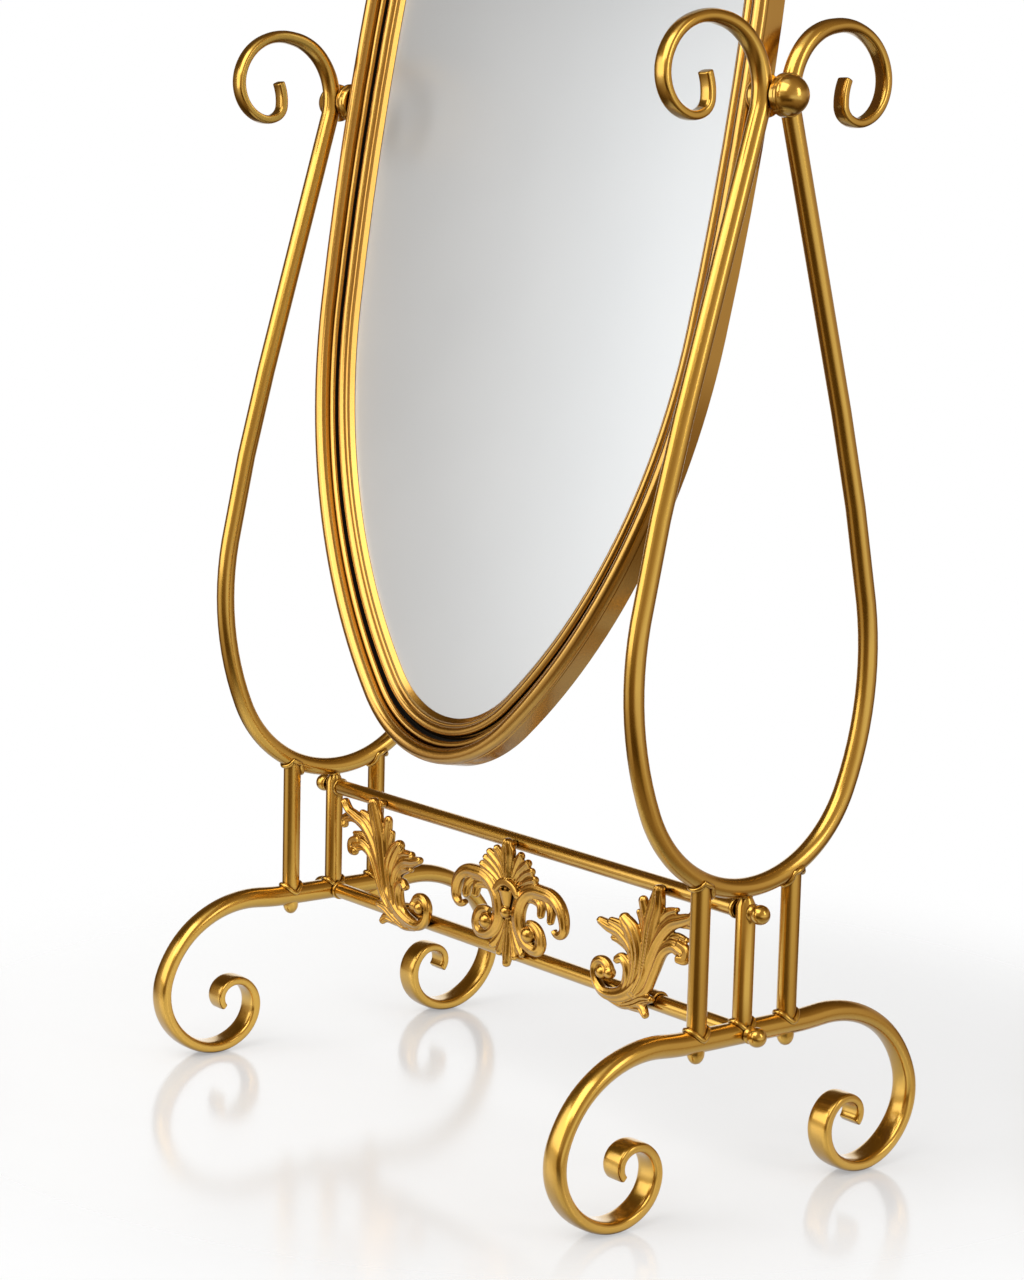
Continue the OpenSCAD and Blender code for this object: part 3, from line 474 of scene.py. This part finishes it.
def frond(mesh, place, p, z, deep=8.0, flutes=2, groove=0.34, lift=2.5):
    """One frond through points of (u, v, width): it lifts forwards to a rounded tip."""
    line = [through(p, i, t / 7) for i in range(len(p) - 1) for t in range(7)] + [Vector(p[-1])]
    count, spots = len(line) - 1, []
    for k, (u, v, wide) in enumerate(line):
        near, far = line[max(0, k - 1)], line[min(count, k + 1)]
        heading = math.degrees(math.atan2(far.y - near.y, far.x - near.x))
        share = k / count
        thick = pick([(0, 0.8 * deep), (0.6, deep), (1, 0.9 * deep)], share)
        spots.append((u, v, heading, z + lift * share * share, wide, thick))
    u, v, heading, high, wide, thick = spots[-1]
    h = math.radians(heading)
    for k in range(1, 8):
        a = math.radians(k * 12.4)
        out = 0.46 * wide * math.sin(a)
        spots.append((u + out * math.cos(h), v + out * math.sin(h), heading, high, wide * math.cos(a),
                      thick * (0.25 + 0.75 * math.cos(a))))
    cast_rings(mesh, place, spots, flutes, groove)


def volute(mesh, place, start, heading, bends, thick, wide, z, flutes=2, groove=0.26):
    """A scrolled band."""
    line = walk(start, heading, bends, 7.0)
    total = line[-1][3]
    spots = [(u, v, h, z, pick(wide, s / total), pick(thick, s / total)) for u, v, h, s in line]
    cast_rings(mesh, place, spots, flutes, groove)


def drop(mesh, place, u, v, size, z):
    """The eye of a volute, or a bud."""
    bmesh.ops.create_uvsphere(mesh, u_segments=32, v_segments=20, radius=size / 2,
                              matrix=place @ Matrix.Translation((u, v, z)))


def clasp(mesh, place, low, high):
    """A half sleeve that clasps the lower bar from the front, with rounded rims."""
    section = [(low, relief + 0.1), (high, relief + 0.1), (high, relief + 2.4), (high - 0.7, relief + 3.1),
               (low + 0.7, relief + 3.1), (low, relief + 2.4)]
    verts = [mesh.verts.new((x, -r * math.sin(math.radians(80)), r * math.cos(math.radians(80))))
             for x, r in section]
    edges = [mesh.edges.new(pair) for pair in zip(verts, verts[1:] + verts[:1])]
    before = set(mesh.verts)
    out = bmesh.ops.spin(mesh, geom=verts + edges, cent=(0, 0, 0), axis=(1, 0, 0),
                         angle=math.radians(-200), steps=24)
    ends = [g for g in out["geom_last"] if isinstance(g, bmesh.types.BMEdge)]
    made = verts + [v for v in mesh.verts if v not in before]
    for ring in (edges, ends):
        bmesh.ops.contextual_create(mesh, geom=ring)
    bmesh.ops.transform(mesh, matrix=place, verts=made)


def boss(mesh, place, u, v):
    """The round boss behind a tip that is brazed to the upper bar."""
    bmesh.ops.create_cone(mesh, cap_ends=True, segments=32, radius1=4, radius2=4, depth=6,
                          matrix=place @ Matrix.Translation((u, v, 3.1)))


def leaf(mesh, place):
    """An acanthus leaf that rises from a volute at its left foot."""
    volute(mesh, place, (-46, 17), 90, [(11, 180), (19, 90), (55, 45), (90, 20)],
           [(0, 9), (0.4, 11), (0.8, 12), (1, 9)],
           [(0, 11), (0.12, 9), (0.3, 8), (0.5, 13), (0.75, 18), (1, 10)], 6)
    drop(mesh, place, -56, 17, 14, 6.5)
    drop(mesh, place, -46, 18, 12, 6)
    frond(mesh, place, [(-36, 1, 9), (-24, 8, 13), (-19, 20, 14), (-20, 31, 12), (-27, 37, 10),
                        (-33, 34, 8)], 6, 10)
    frond(mesh, place, [(-14, 12, 10), (-7, 32, 14), (-6, 50, 18), (-13, 65, 20), (-23, 75, 12)], 7, 12, 3)
    frond(mesh, place, [(-9, 34, 10), (-13, 52, 14), (-26, 64, 14), (-42, 68, 9)], 6, 10, 3)
    frond(mesh, place, [(-10, 30, 9), (-15, 48, 12), (-30, 60, 13), (-46, 63, 12), (-57, 66, 8)], 7, 10)
    frond(mesh, place, [(-12, 32, 8), (-20, 46, 9), (-31, 52, 9), (-40, 53, 6)], 5)
    frond(mesh, place, [(-9, 8, 8), (2, 26, 12), (8, 50, 15), (13, 76, 18), (20, 97, 19),
                        (23, 111, 11)], 7, 13, 3)
    frond(mesh, place, [(3, 30, 9), (3, 55, 12), (4, 78, 14), (0, 96, 11)], 5, 9)
    frond(mesh, place, [(0, 40, 7), (0, 60, 9), (-2, 74, 9), (-6, 84, 7)], 4, 7)
    frond(mesh, place, [(13, 50, 9), (20, 74, 12), (31, 90, 11), (46, 97, 5)], 5, 8)
    frond(mesh, place, [(-14, 5, 9), (4, 30, 14), (20, 62, 14), (38, 82, 14), (56, 90, 12), (68, 95, 9),
                        (74, 102, 10)], 7, 11, 2)
    frond(mesh, place, [(50, 86, 10), (66, 88, 11), (77, 84, 10), (76, 78, 7)], 6, 10)
    frond(mesh, place, [(16, 42, 8), (28, 63, 9), (44, 72, 8), (60, 72, 5)], 4, 7)
    frond(mesh, place, [(-10, 3, 8), (6, 14, 10), (17, 34, 11), (28, 54, 11), (42, 63, 13),
                        (55, 61, 15)], 6, 10)
    frond(mesh, place, [(50, 67, 8), (62, 63, 10), (61, 55, 10), (54, 54, 8)], 8, 10, 1, 0.2)
    frond(mesh, place, [(-46, -7, 5), (-28, -8, 8), (-12, -3, 11), (2, 4, 12), (14, 7, 7)], 5, 9, 3)
    frond(mesh, place, [(-30, -8, 6), (-12, -6, 9), (0, -4, 12), (7, -9, 8)], 5, 9, 3)


def palmette(mesh, place):
    """A fan over a cup, between two volutes with hanging fronds."""
    frond(mesh, place, [(0, 66, 7), (0, 86, 11), (0, 103, 18), (0, 111, 12)], 7, 12, 3)
    for m in (-1, 1):
        half = place @ Matrix.Scale(m, 4, (1, 0, 0))
        frond(mesh, half, [(3, 72, 6), (9, 87, 9), (15, 97, 11), (19, 102, 9)], 5)
        frond(mesh, half, [(6, 72, 6), (14, 85, 9), (24, 93, 10), (30, 97, 8)], 5, 9)
        frond(mesh, half, [(9, 71, 6), (18, 80, 9), (28, 87, 10), (36, 90, 8)], 5)
        frond(mesh, half, [(12, 69, 6), (22, 75, 9), (32, 80, 10), (41, 83, 8)], 5, 9)
        volute(mesh, half, (30, 38), 15, [(16, -105), (8, -90), (27, -90), (31, -90), (0, 12), (27, -90),
               (9, -140)], [(0, 7), (0.2, 9), (0.5, 12), (0.8, 12), (1, 7)],
               [(0, 7), (0.08, 13), (0.14, 15), (0.2, 12), (0.41, 18), (0.55, 16), (0.7, 14), (0.85, 13),
                (0.93, 10), (1, 6)], 6)
        drop(mesh, half, 33, 28, 17, 6.5)
        frond(mesh, half, [(22, 60, 8), (37, 64, 11), (49, 61, 11), (51, 51, 8)], 5, 9)
        frond(mesh, half, [(44, 68, 8), (57, 66, 11), (65, 58, 11), (66, 48, 8)], 5, 9)
        frond(mesh, half, [(3, 34, 6), (6, 20, 9), (10, 8, 11), (12, 2, 9)], 5)
        frond(mesh, half, [(5, 34, 5), (10, 22, 9), (17, 12, 11), (23, 7, 8)], 5, 7)
    frond(mesh, place, [(-18, 62, 7), (-10, 70, 9), (0, 73, 9), (10, 70, 9), (17, 63, 7)], 9, 9, 1, 0.2, 0)
    frond(mesh, place, [(0, 42, 9), (0, 22, 12), (0, 4, 14), (0, -7, 9)], 5, 10, 3)
    drop(mesh, place, 0, 44, 13, 9)
    cup = Matrix.Translation((0, 57, 7)) @ Matrix.Rotation(-math.pi / 2, 4, "X")
    bmesh.ops.create_cone(mesh, cap_ends=True, segments=40, radius1=4.5, radius2=10, depth=18,
                          matrix=place @ cup)


facing = Matrix(((1, 0, 0, 0), (0, 0, -1, 0), (0, 1, 0, 0), (0, 0, 0, 1)))
leaf_x = 200.0
for name, x, hand, ornament, tip, low, high in (
        ("left_leaf", -leaf_x, -1, leaf, 17, -14, 10), ("palmette", 0, 1, palmette, 0, -9, 9),
        ("right_leaf", leaf_x, 1, leaf, 17, -14, 10)):
    mesh = bmesh.new()
    at_bar = Matrix.Scale(MM, 4) @ Matrix.Translation((x, 0, rail_z)) @ Matrix.Scale(hand, 4, (1, 0, 0))
    at_back = at_bar @ facing @ Matrix.Translation((0, 0, relief))
    ornament(mesh, at_back @ Matrix.Scale(cast_k, 4))
    clasp(mesh, at_bar, low, high)
    boss(mesh, at_back, tip * cast_k, upper_bar_z - rail_z)
    bmesh.ops.recalc_face_normals(mesh, faces=mesh.faces)
    # The fronds run through each other; a voxel remesh makes one closed casting of them
    pattern = linked("pattern", mesh)
    cast = pattern.modifiers.new("cast", "REMESH")
    cast.mode, cast.voxel_size = "VOXEL", 0.65 * MM
    wear = pattern.modifiers.new("wear", "SMOOTH")
    wear.factor, wear.iterations = 0.5, 3
    mesh = bmesh.new()
    mesh.from_object(pattern, bpy.context.evaluated_depsgraph_get())
    bpy.data.objects.remove(pattern)
    piece(name + "_casting", mesh, cast_brass, "stand", [name], 180)

# Pivots
# On each side a turned spacer, a friction washer, the bush between the legs, another washer,
# a turned collar and a domed knob sit on one 8 mm stud; the knob is screwed up by hand.
pivot_z = 970.0
# Brass turned on a lathe and polished: a little brighter and smoother than the tubes
# Its third colour is the brown of patina and painted shade in creases, and of painted shade on undersides
polished_brass = brass("polished_turned_brass", "#eabe50", "#deae43", "#452805", 0.18, 0.21, 4, 0.9,
                       30, 0.1)
friction_fibre, tree = blank("dark_friction_fibre")
place = add(tree, "TexCoord").outputs["Object"]
fibres = add(tree, "TexNoise", {"Vector": place}, {"Scale": 1 / (0.8 * MM), "Detail": 5.0})
shade = add(tree, "Mix", {"Factor": fibres.outputs["Fac"]}, {6: srgb("#1c1a17"), 7: srgb("#3a352e")},
            data_type="RGBA")
skin = add(tree, "BsdfPrincipled", {"Base Color": shade.outputs[2]}, {"Roughness": 0.8})
add(tree, "OutputMaterial", {"Surface": skin.outputs["BSDF"]})
for side, hand in ((-1, "left"), (1, "right")):
    axis = stood(0, 0, pivot_z) @ Matrix.Rotation(side * math.pi / 2, 4, "Y")
    mesh = bmesh.new()
    profile = [(4.05, 299.1), (15.6, 299.1), (16.6, 300.6), (17.3, 302.6), (17.6, 304.2), (18.2, 304.5),
               (18.75, 305.1), (18.75, 308.8), (18.2, 309.4), (4.05, 309.4), (4.05, 299.1)]
    turned(mesh, profile, axis)
    piece(hand + "_turned_spacer", mesh, polished_brass, "mirror",
          [hand + "_inner_spacer"], 35)
    mesh = bmesh.new()
    profile = [(4.05, 330.6), (18.1, 330.6), (18.75, 331.2), (18.75, 335), (18.1, 335.5), (18.1, 335.9),
               (18.6, 336.3), (18.6, 338.1), (18.1, 338.6), (4.05, 338.6), (4.05, 330.6)]
    turned(mesh, profile, axis)
    piece(hand + "_turned_collar", mesh, polished_brass, "mirror",
          [hand + "_knob_collar"], 35)
    mesh = bmesh.new()
    dome = arc((0, 335.6), 17.75, 9.9, 90, 26)
    turned(mesh, [(0, 338.65)] + dome, axis, 64)
    piece(hand + "_domed_knob", mesh, polished_brass, hand + "_knob",
          [hand + "_ball_knob"], 50)
    dress(satin_brass, hand + "_pivot_bush", hand + "_pivot_boss")
dress(friction_fibre, "pivot_washers")

# Studs, clips and screws
# Plain zinc-plated steel: the pivot studs, the crossbar studs, and on the back eight turn
# clips with their screws. The plating has a fine pale spangle.
zinc_steel, tree = blank("zinc_plated_steel")
place = add(tree, "TexCoord").outputs["Object"]
spangle = add(tree, "TexVoronoi", {"Vector": place}, {"Scale": 1 / (2.5 * MM)})
shade = add(tree, "Mix", {"Factor": spangle.outputs["Distance"]}, {6: srgb("#a9abae"), 7: srgb("#c4c6c8")},
            data_type="RGBA")
rough = add(tree, "MapRange", {"Value": spangle.outputs["Distance"]}, {"To Min": 0.3, "To Max": 0.45})
skin = add(tree, "BsdfPrincipled", {"Base Color": shade.outputs[2], "Roughness": rough.outputs["Result"]},
           {"Metallic": 1.0})
add(tree, "OutputMaterial", {"Surface": skin.outputs["BSDF"]})
dress(zinc_steel, "crossbar_studs", "left_pivot_stud", "right_pivot_stud", "back_clips", "back_screws")

# Oval rim
# A brass moulding rolled to an oval of three tangent arcs a quarter: a plain side band behind,
# a half-round bead in front, and a smaller step bead that falls to the channel inside, whose
# near-black floor is a painted shadow.
# Painted shade: the rim's golds are a darker copy of the tube brass, toning down its bright reflections;
# its third colour browns creases as patina and painted shade, and undersides as painted shade
rim_shaded_brass = brass("rolled_brass_painted_darker", "#d9aa46", "#cb993b", "#3c2203", 0.18, 0.22, 7, 0.92, 40, 0.1)
lean = math.radians(9.8)
rim_gap = 12.0
axis_above, axis_behind = 16.0, 6.4
half_w, half_h = frame_x - tube_d / 2 - rim_gap, 610.0
side_turn, end_turn, mid_r = 4.6, 46.6, 578.0
side_cos, side_sin = math.cos(math.radians(side_turn)), math.sin(math.radians(side_turn))
end_cos, end_sin = math.cos(math.radians(end_turn)), math.sin(math.radians(end_turn))
flat_a, flat_b = half_w - mid_r * (side_cos - end_cos), half_h - mid_r * (end_sin - side_sin)
divisor = (1 - side_cos) * (1 - end_sin) - end_cos * side_sin
side_r = (flat_a * (1 - end_sin) - flat_b * end_cos) / divisor
end_r = ((1 - side_cos) * flat_b - side_sin * flat_a) / divisor
side_c = Vector((half_w - side_r, 0))
mid_c = side_c + (side_r - mid_r) * Vector((side_cos, side_sin))
end_c = Vector((0, half_h - end_r))
oval = [(side_c, side_r, -side_turn, side_turn), (mid_c, mid_r, side_turn, end_turn),
        (end_c, end_r, end_turn, 180 - end_turn),
        (Vector((-mid_c.x, mid_c.y)), mid_r, 180 - end_turn, 180 - side_turn)]
hung = (Matrix.Translation((0, 0, pivot_z * MM)) @ Matrix.Rotation(-lean, 4, "X")
        @ Matrix.Rotation(math.pi / 2, 4, "X")
        @ Matrix.Translation((0, -axis_above * MM, axis_behind * MM)))


def round_oval(mesh, profile, stride=2.0):
    """Spins a closed profile of (inset, depth) round the eight arcs of the oval."""
    first = last = None
    for flip in (0, 180):
        for centre, radius, a0, a1 in oval:
            angle = math.radians(a0 + flip)
            mid = Matrix.Rotation(math.radians(flip), 2) @ centre
            if last is None:
                ring = []
                for x, z in profile:
                    ring.append(mesh.verts.new((MM * (mid.x + (radius + x) * math.cos(angle)),
                                                MM * (mid.y + (radius + x) * math.sin(angle)), MM * z)))
                last = ring + [mesh.edges.new(p) for p in zip(ring, ring[1:] + ring[:1])]
            turn = math.radians(a1 - a0)
            out = bmesh.ops.spin(mesh, geom=last, cent=(MM * mid.x, MM * mid.y, 0), axis=(0, 0, 1),
                                 angle=turn, steps=max(3, math.ceil((a1 - a0) / stride)))
            last = out["geom_last"]
    bmesh.ops.remove_doubles(mesh, verts=mesh.verts, dist=0.05 * MM)
    bmesh.ops.transform(mesh, matrix=hung, verts=mesh.verts)


mesh = bmesh.new()
rim = [(-22, -20.2), (-21.2, -21), (-0.8, -21), (0, -20.2), (0, -2.4), (-0.6, -1.7)]
rim += arc((-7.5, 0), 7.5, -8, 180, 20)
rim += [(-15, -4)] + arc((-18.5, -5.5), 3.5, 20, 180, 12)
round_oval(mesh, rim, 1.5)
piece("rim_moulding", mesh, rim_shaded_brass, "mirror", ["oval_rim"], 35)

# Inner bead
# A second, lower moulding inside the channel: a rounded bead with a fine groove and a thin
# lip that runs down to the glass and holds it from the front.
mesh = bmesh.new()
bead = [(-22.1, -13.85), (-22.1, -11)]
bead += arc((-31, -9), 5, 0, 150, 14)
bead += arc((-37, -9.4), 2, 60, 180, 6)
bead += [(-39.4, -10.6), (-44, -13.25), (-44, -13.85)]
round_oval(mesh, bead, 1.5)
piece("inner_bead_moulding", mesh, rim_shaded_brass, "mirror", ["inner_bead"], 30)

# Painted channel shadow
# The bottom of the channel between the two mouldings, and the foot of the wall beside it, carry
# a matt near-black strip: painted shadow that reads as a deep shadow line round the glass.
# Painted shadow: near-black with a faint noise, standing where the channel lies in shade
shadow_paint, tree = blank("painted_channel_shadow")
place = add(tree, "TexCoord").outputs["Object"]
grain = add(tree, "TexNoise", {"Vector": place}, {"Scale": 1 / (1.5 * MM), "Detail": 3.0})
shade = add(tree, "Mix", {"Factor": grain.outputs["Fac"]}, {6: srgb("#0e0c0a"), 7: srgb("#1d1a16")},
            data_type="RGBA")
skin = add(tree, "BsdfPrincipled", {"Base Color": shade.outputs[2]},
           {"Roughness": 0.8, "Specular IOR Level": 0.15})
add(tree, "OutputMaterial", {"Surface": skin.outputs["BSDF"]})
mesh = bmesh.new()
round_oval(mesh, [(-22.02, -10.9), (-22.02, -5.7), (-22.3, -5.7), (-22.3, -10.1), (-26.6, -10.1),
                  (-26.6, -10.9)])
piece("channel_shadow_strip", mesh, shadow_paint, "mirror", [], 30)

# Mirror glass
# Four millimetre float glass, silvered. It is made far softer than a real mirror, so that it
# shows a plain pale grey, as the photograph does, and no sharp image.
silvered, tree = blank("silvered_float_glass")
place = add(tree, "TexCoord").outputs["Object"]
mist = add(tree, "TexNoise", {"Vector": place}, {"Scale": 1 / (180 * MM), "Detail": 2.0})
shade = add(tree, "Mix", {"Factor": mist.outputs["Fac"]}, {6: srgb("#dce5ee"), 7: srgb("#e4ecf4")},
            data_type="RGBA")
rough = add(tree, "MapRange", {"Value": mist.outputs["Fac"]}, {"To Min": 0.29, "To Max": 0.32})
skin = add(tree, "BsdfPrincipled", {"Base Color": shade.outputs[2], "Roughness": rough.outputs["Result"]},
           {"Metallic": 0.74})
add(tree, "OutputMaterial", {"Surface": skin.outputs["BSDF"]})
dress(silvered, "mirror_glass")

# Back board
# A sheet of 3 mm tempered hardboard, smooth side out, cut to the oval; its pressed fibres
# show as a fine brown fleck.
hardboard, tree = blank("tempered_hardboard")
place = add(tree, "TexCoord").outputs["Object"]
fleck = add(tree, "TexNoise", {"Vector": place}, {"Scale": 1 / (3 * MM), "Detail": 6.0, "Roughness": 0.7})
cloud = add(tree, "TexNoise", {"Vector": place}, {"Scale": 1 / (140 * MM), "Detail": 2.0})
shade = add(tree, "Mix", {"Factor": fleck.outputs["Fac"]}, {6: srgb("#5e4029"), 7: srgb("#8a6443")},
            data_type="RGBA")
tone = add(tree, "Mix", {"Factor": cloud.outputs["Fac"], 6: shade.outputs[2]}, {7: srgb("#745036")},
           data_type="RGBA")
bump = add(tree, "Bump", {"Height": fleck.outputs["Fac"]}, {"Strength": 0.25, "Distance": 0.3 * MM})
skin = add(tree, "BsdfPrincipled", {"Base Color": tone.outputs[2], "Normal": bump.outputs["Normal"]},
           {"Roughness": 0.55})
add(tree, "OutputMaterial", {"Surface": skin.outputs["BSDF"]})
dress(hardboard, "back_board")

# Floor
# A round sheet of white gloss lacquer under the stand. It keeps the soft contact shadows and
# blurred reflections of the feet; a white wash lifts it, and it fades out into the paper.
sheet_r = 1.2
fade_centre, fade_from, fade_to = (-0.15, 0.16, 0), 0.42, 0.92
wash_level = 0.345
lacquer, tree = blank("white_gloss_lacquer")
place = add(tree, "TexCoord").outputs["Object"]
away = add(tree, "VectorMath", {0: place}, {1: fade_centre}, operation="DISTANCE")
fade = add(tree, "MapRange", {"Value": away.outputs["Value"]}, {"From Min": fade_from, "From Max": fade_to},
           interpolation_type="SMOOTHERSTEP")
grain = add(tree, "TexNoise", {"Vector": place}, {"Scale": 1 / (60 * MM), "Detail": 2.0})
rough = add(tree, "MapRange", {"Value": grain.outputs["Fac"]}, {"To Min": 0.12, "To Max": 0.16})
sheet = add(tree, "BsdfPrincipled", {"Roughness": rough.outputs["Result"]},
            {"Base Color": srgb("#c6c6c6"), "IOR": 2.0})
rays = add(tree, "LightPath")
seen = add(tree, "Math", {0: rays.outputs["Is Camera Ray"], 1: rays.outputs["Is Glossy Ray"]},
           operation="MAXIMUM")
white = add(tree, "Math", {0: seen.outputs[0], 1: rays.outputs["Is Transmission Ray"]},
            operation="MAXIMUM")
lift = add(tree, "Math", {0: white.outputs[0]}, {1: wash_level}, operation="MULTIPLY")
wash = add(tree, "Emission", {"Strength": lift.outputs[0]}, {"Color": (1, 1, 1, 1)})
both = add(tree, "AddShader", {0: sheet.outputs[0], 1: wash.outputs[0]})
faded = add(tree, "MixShader", {0: fade.outputs["Result"], 1: both.outputs[0],
                                2: add(tree, "BsdfTransparent").outputs[0]})
add(tree, "OutputMaterial", {"Surface": faded.outputs[0]})
mesh = bmesh.new()
bmesh.ops.create_circle(mesh, cap_ends=True, segments=96, radius=sheet_r)
floor = linked("floor_sheet", mesh)
floor.data.materials.append(lacquer)

# Studio
# White paper all round. A sphere of dim walls that only glossy rays see stands in front of it, so
# the metal and the glass show the walls, and the white only through the open side behind the
# stand. The levels were fitted to the photograph's tones, and the studio is wrong in places.
wall_r = 6.0
view_bearing = 38
open_half, open_low, open_high = 15, -0.3, 0.36
world = bpy.data.worlds.new("white_paper")
bpy.context.scene.world = world
world.use_nodes = True
tree = world.node_tree
tree.nodes.clear()
rays = add(tree, "LightPath")
seen = add(tree, "Math", {0: rays.outputs["Is Camera Ray"], 1: rays.outputs["Is Glossy Ray"]},
           operation="MAXIMUM")
white = add(tree, "Math", {0: seen.outputs[0], 1: rays.outputs["Is Transmission Ray"]},
            operation="MAXIMUM")
level = add(tree, "MapRange", {"Value": white.outputs[0]}, {"To Min": 0.5, "To Max": 1.0})
paper = add(tree, "Background", {"Strength": level.outputs["Result"]}, {"Color": (1, 1, 1, 1)})
add(tree, "OutputWorld", {"Surface": paper.outputs[0]})

dim_walls, tree = blank("dim_glowing_walls")
aim = add(tree, "VectorMath", {0: add(tree, "TexCoord").outputs["Object"]}, operation="NORMALIZE")
sides = add(tree, "SeparateXYZ", {0: aim.outputs[0]})
bearing = add(tree, "Math", {0: sides.outputs["Y"], 1: sides.outputs["X"]}, operation="ARCTAN2")
turned_to = add(tree, "Math", {0: bearing.outputs[0]}, {1: math.radians(view_bearing)}, operation="ADD")
whole = add(tree, "Math", {0: turned_to.outputs[0]}, {1: -math.pi, 2: math.pi}, operation="WRAP")
across = add(tree, "MapRange", {"Value": whole.outputs[0]}, {"From Min": -math.pi, "From Max": math.pi})


def band(*stops):
    """Grey levels round the walls at bearings from the viewpoint, in degrees."""
    node = add(tree, "ValToRGB", {"Fac": across.outputs["Result"]})
    node.color_ramp.interpolation = "EASE"
    while len(node.color_ramp.elements) < len(stops):
        node.color_ramp.elements.new(0.5)
    for element, (turn, value) in zip(node.color_ramp.elements, stops):
        element.position, element.color = (turn + 180) / 360, (value, value, value, 1)
    return node.outputs["Color"]


walls = band((-180, 0.08), (180, 0.08))
for lowest, highest, stops in (
        (-60, -40, ((-180, 0.15), (-130, 0.08), (-90, 0.25), (0, 0.3), (60, 0.3), (110, 0.12),
                    (180, 0.15))),
        (-32, -24, ((-180, 0.3), (-125, 0.08), (-90, 0.4), (-60, 0.5), (-42, 0.08), (10, 0.05), (35, 0.4),
                    (80, 0.35), (120, 0.08), (150, 0.3), (180, 0.3))),
        (-14, -8, ((-150, 0.3), (-125, 0.08), (-90, 0.7), (-65, 0.6), (-48, 0.12), (-12, 0.2), (20, 0.85),
                   (62, 0.8), (80, 0.5), (95, 0.4), (125, 0.12), (150, 0.35))),
        (2, 10, ((-150, 0.2), (-125, 0.12), (-108, 0.25), (-90, 0.4), (-35, 0.5), (-20, 0.35), (5, 0.4),
                 (45, 0.6), (65, 0.6), (110, 0.4), (150, 0.4))),
        (20, 30, ((-150, 0.1), (-120, 0.08), (-100, 0.15), (-90, 0.3), (-60, 0.5), (-30, 0.3), (10, 0.42),
                  (40, 0.4), (90, 0.25), (110, 0.15), (150, 0.1))),
        (52, 66, ((-150, 0.12), (-110, 0.25), (-70, 0.8), (-10, 0.7), (30, 0.35), (90, 0.25),
                  (150, 0.15)))):
    blend = add(tree, "MapRange", {"Value": sides.outputs["Z"]},
                {"From Min": math.sin(math.radians(lowest)), "From Max": math.sin(math.radians(highest))})
    walls = add(tree, "Mix", {"Factor": blend.outputs["Result"], 6: walls, 7: band(*stops)},
                data_type="RGBA").outputs[2]
pale = add(tree, "MapRange", {"Value": walls}, {"From Max": 0.8})
warm = add(tree, "Mix", {"Factor": pale.outputs["Result"]}, {6: (1, 0.53, 0.08, 1), 7: (1, 1, 1, 1)},
           data_type="RGBA")
# The walls glow: this emission, seen only by glossy rays, makes the bright and dark bands that the metal
# and the glass reflect
glow = add(tree, "Emission", {"Color": warm.outputs[2], "Strength": walls})
add(tree, "OutputMaterial", {"Surface": glow.outputs[0]})
dim_walls.cycles.emission_sampling = "NONE"
mesh = bmesh.new()
bmesh.ops.create_uvsphere(mesh, u_segments=90, v_segments=45, radius=wall_r)
open_side = []
for face in mesh.faces:
    middle = face.calc_center_median()
    turn = (math.degrees(math.atan2(middle.y, middle.x)) + view_bearing + 360) % 360
    if abs(turn - 180) < open_half and open_low < middle.z / wall_r < open_high:
        open_side.append(face)
bmesh.ops.delete(mesh, geom=open_side, context="FACES")
room = linked("studio_walls", mesh)
room.data.materials.append(dim_walls)
room.visible_camera = room.visible_diffuse = False
room.visible_shadow = room.visible_transmission = False

# Three soft boxes: a large one high on the left, a lower one at the far left, a narrow one right
lamp_aim = Vector((0, 0, 0.5))
for name, turn, climb, away, wide, tall, glow in (("key_box", -84, 47, 3.0, 3.2, 2.0, 2.15),
                                                  ("low_left_box", -113, 15, 3.0, 2.9, 1.7, 1.45),
                                                  ("right_strip", 14, 22, 3.0, 0.7, 1.6, 2.4)):
    lamp = bpy.data.lights.new(name, "AREA")
    lamp.shape = "RECTANGLE"
    lamp.size, lamp.size_y, lamp.energy = wide, tall, glow * math.pi * wide * tall
    lamp.color = (1.0, 0.99, 0.97)
    box = bpy.data.objects.new(name, lamp)
    a, e = math.radians(turn), math.radians(climb)
    out = Vector((math.cos(a) * math.cos(e), math.sin(a) * math.cos(e), math.sin(e)))
    box.location = lamp_aim + out * away
    box.rotation_euler = out.to_track_quat("Z", "Y").to_euler()
    bpy.context.scene.collection.objects.link(box)
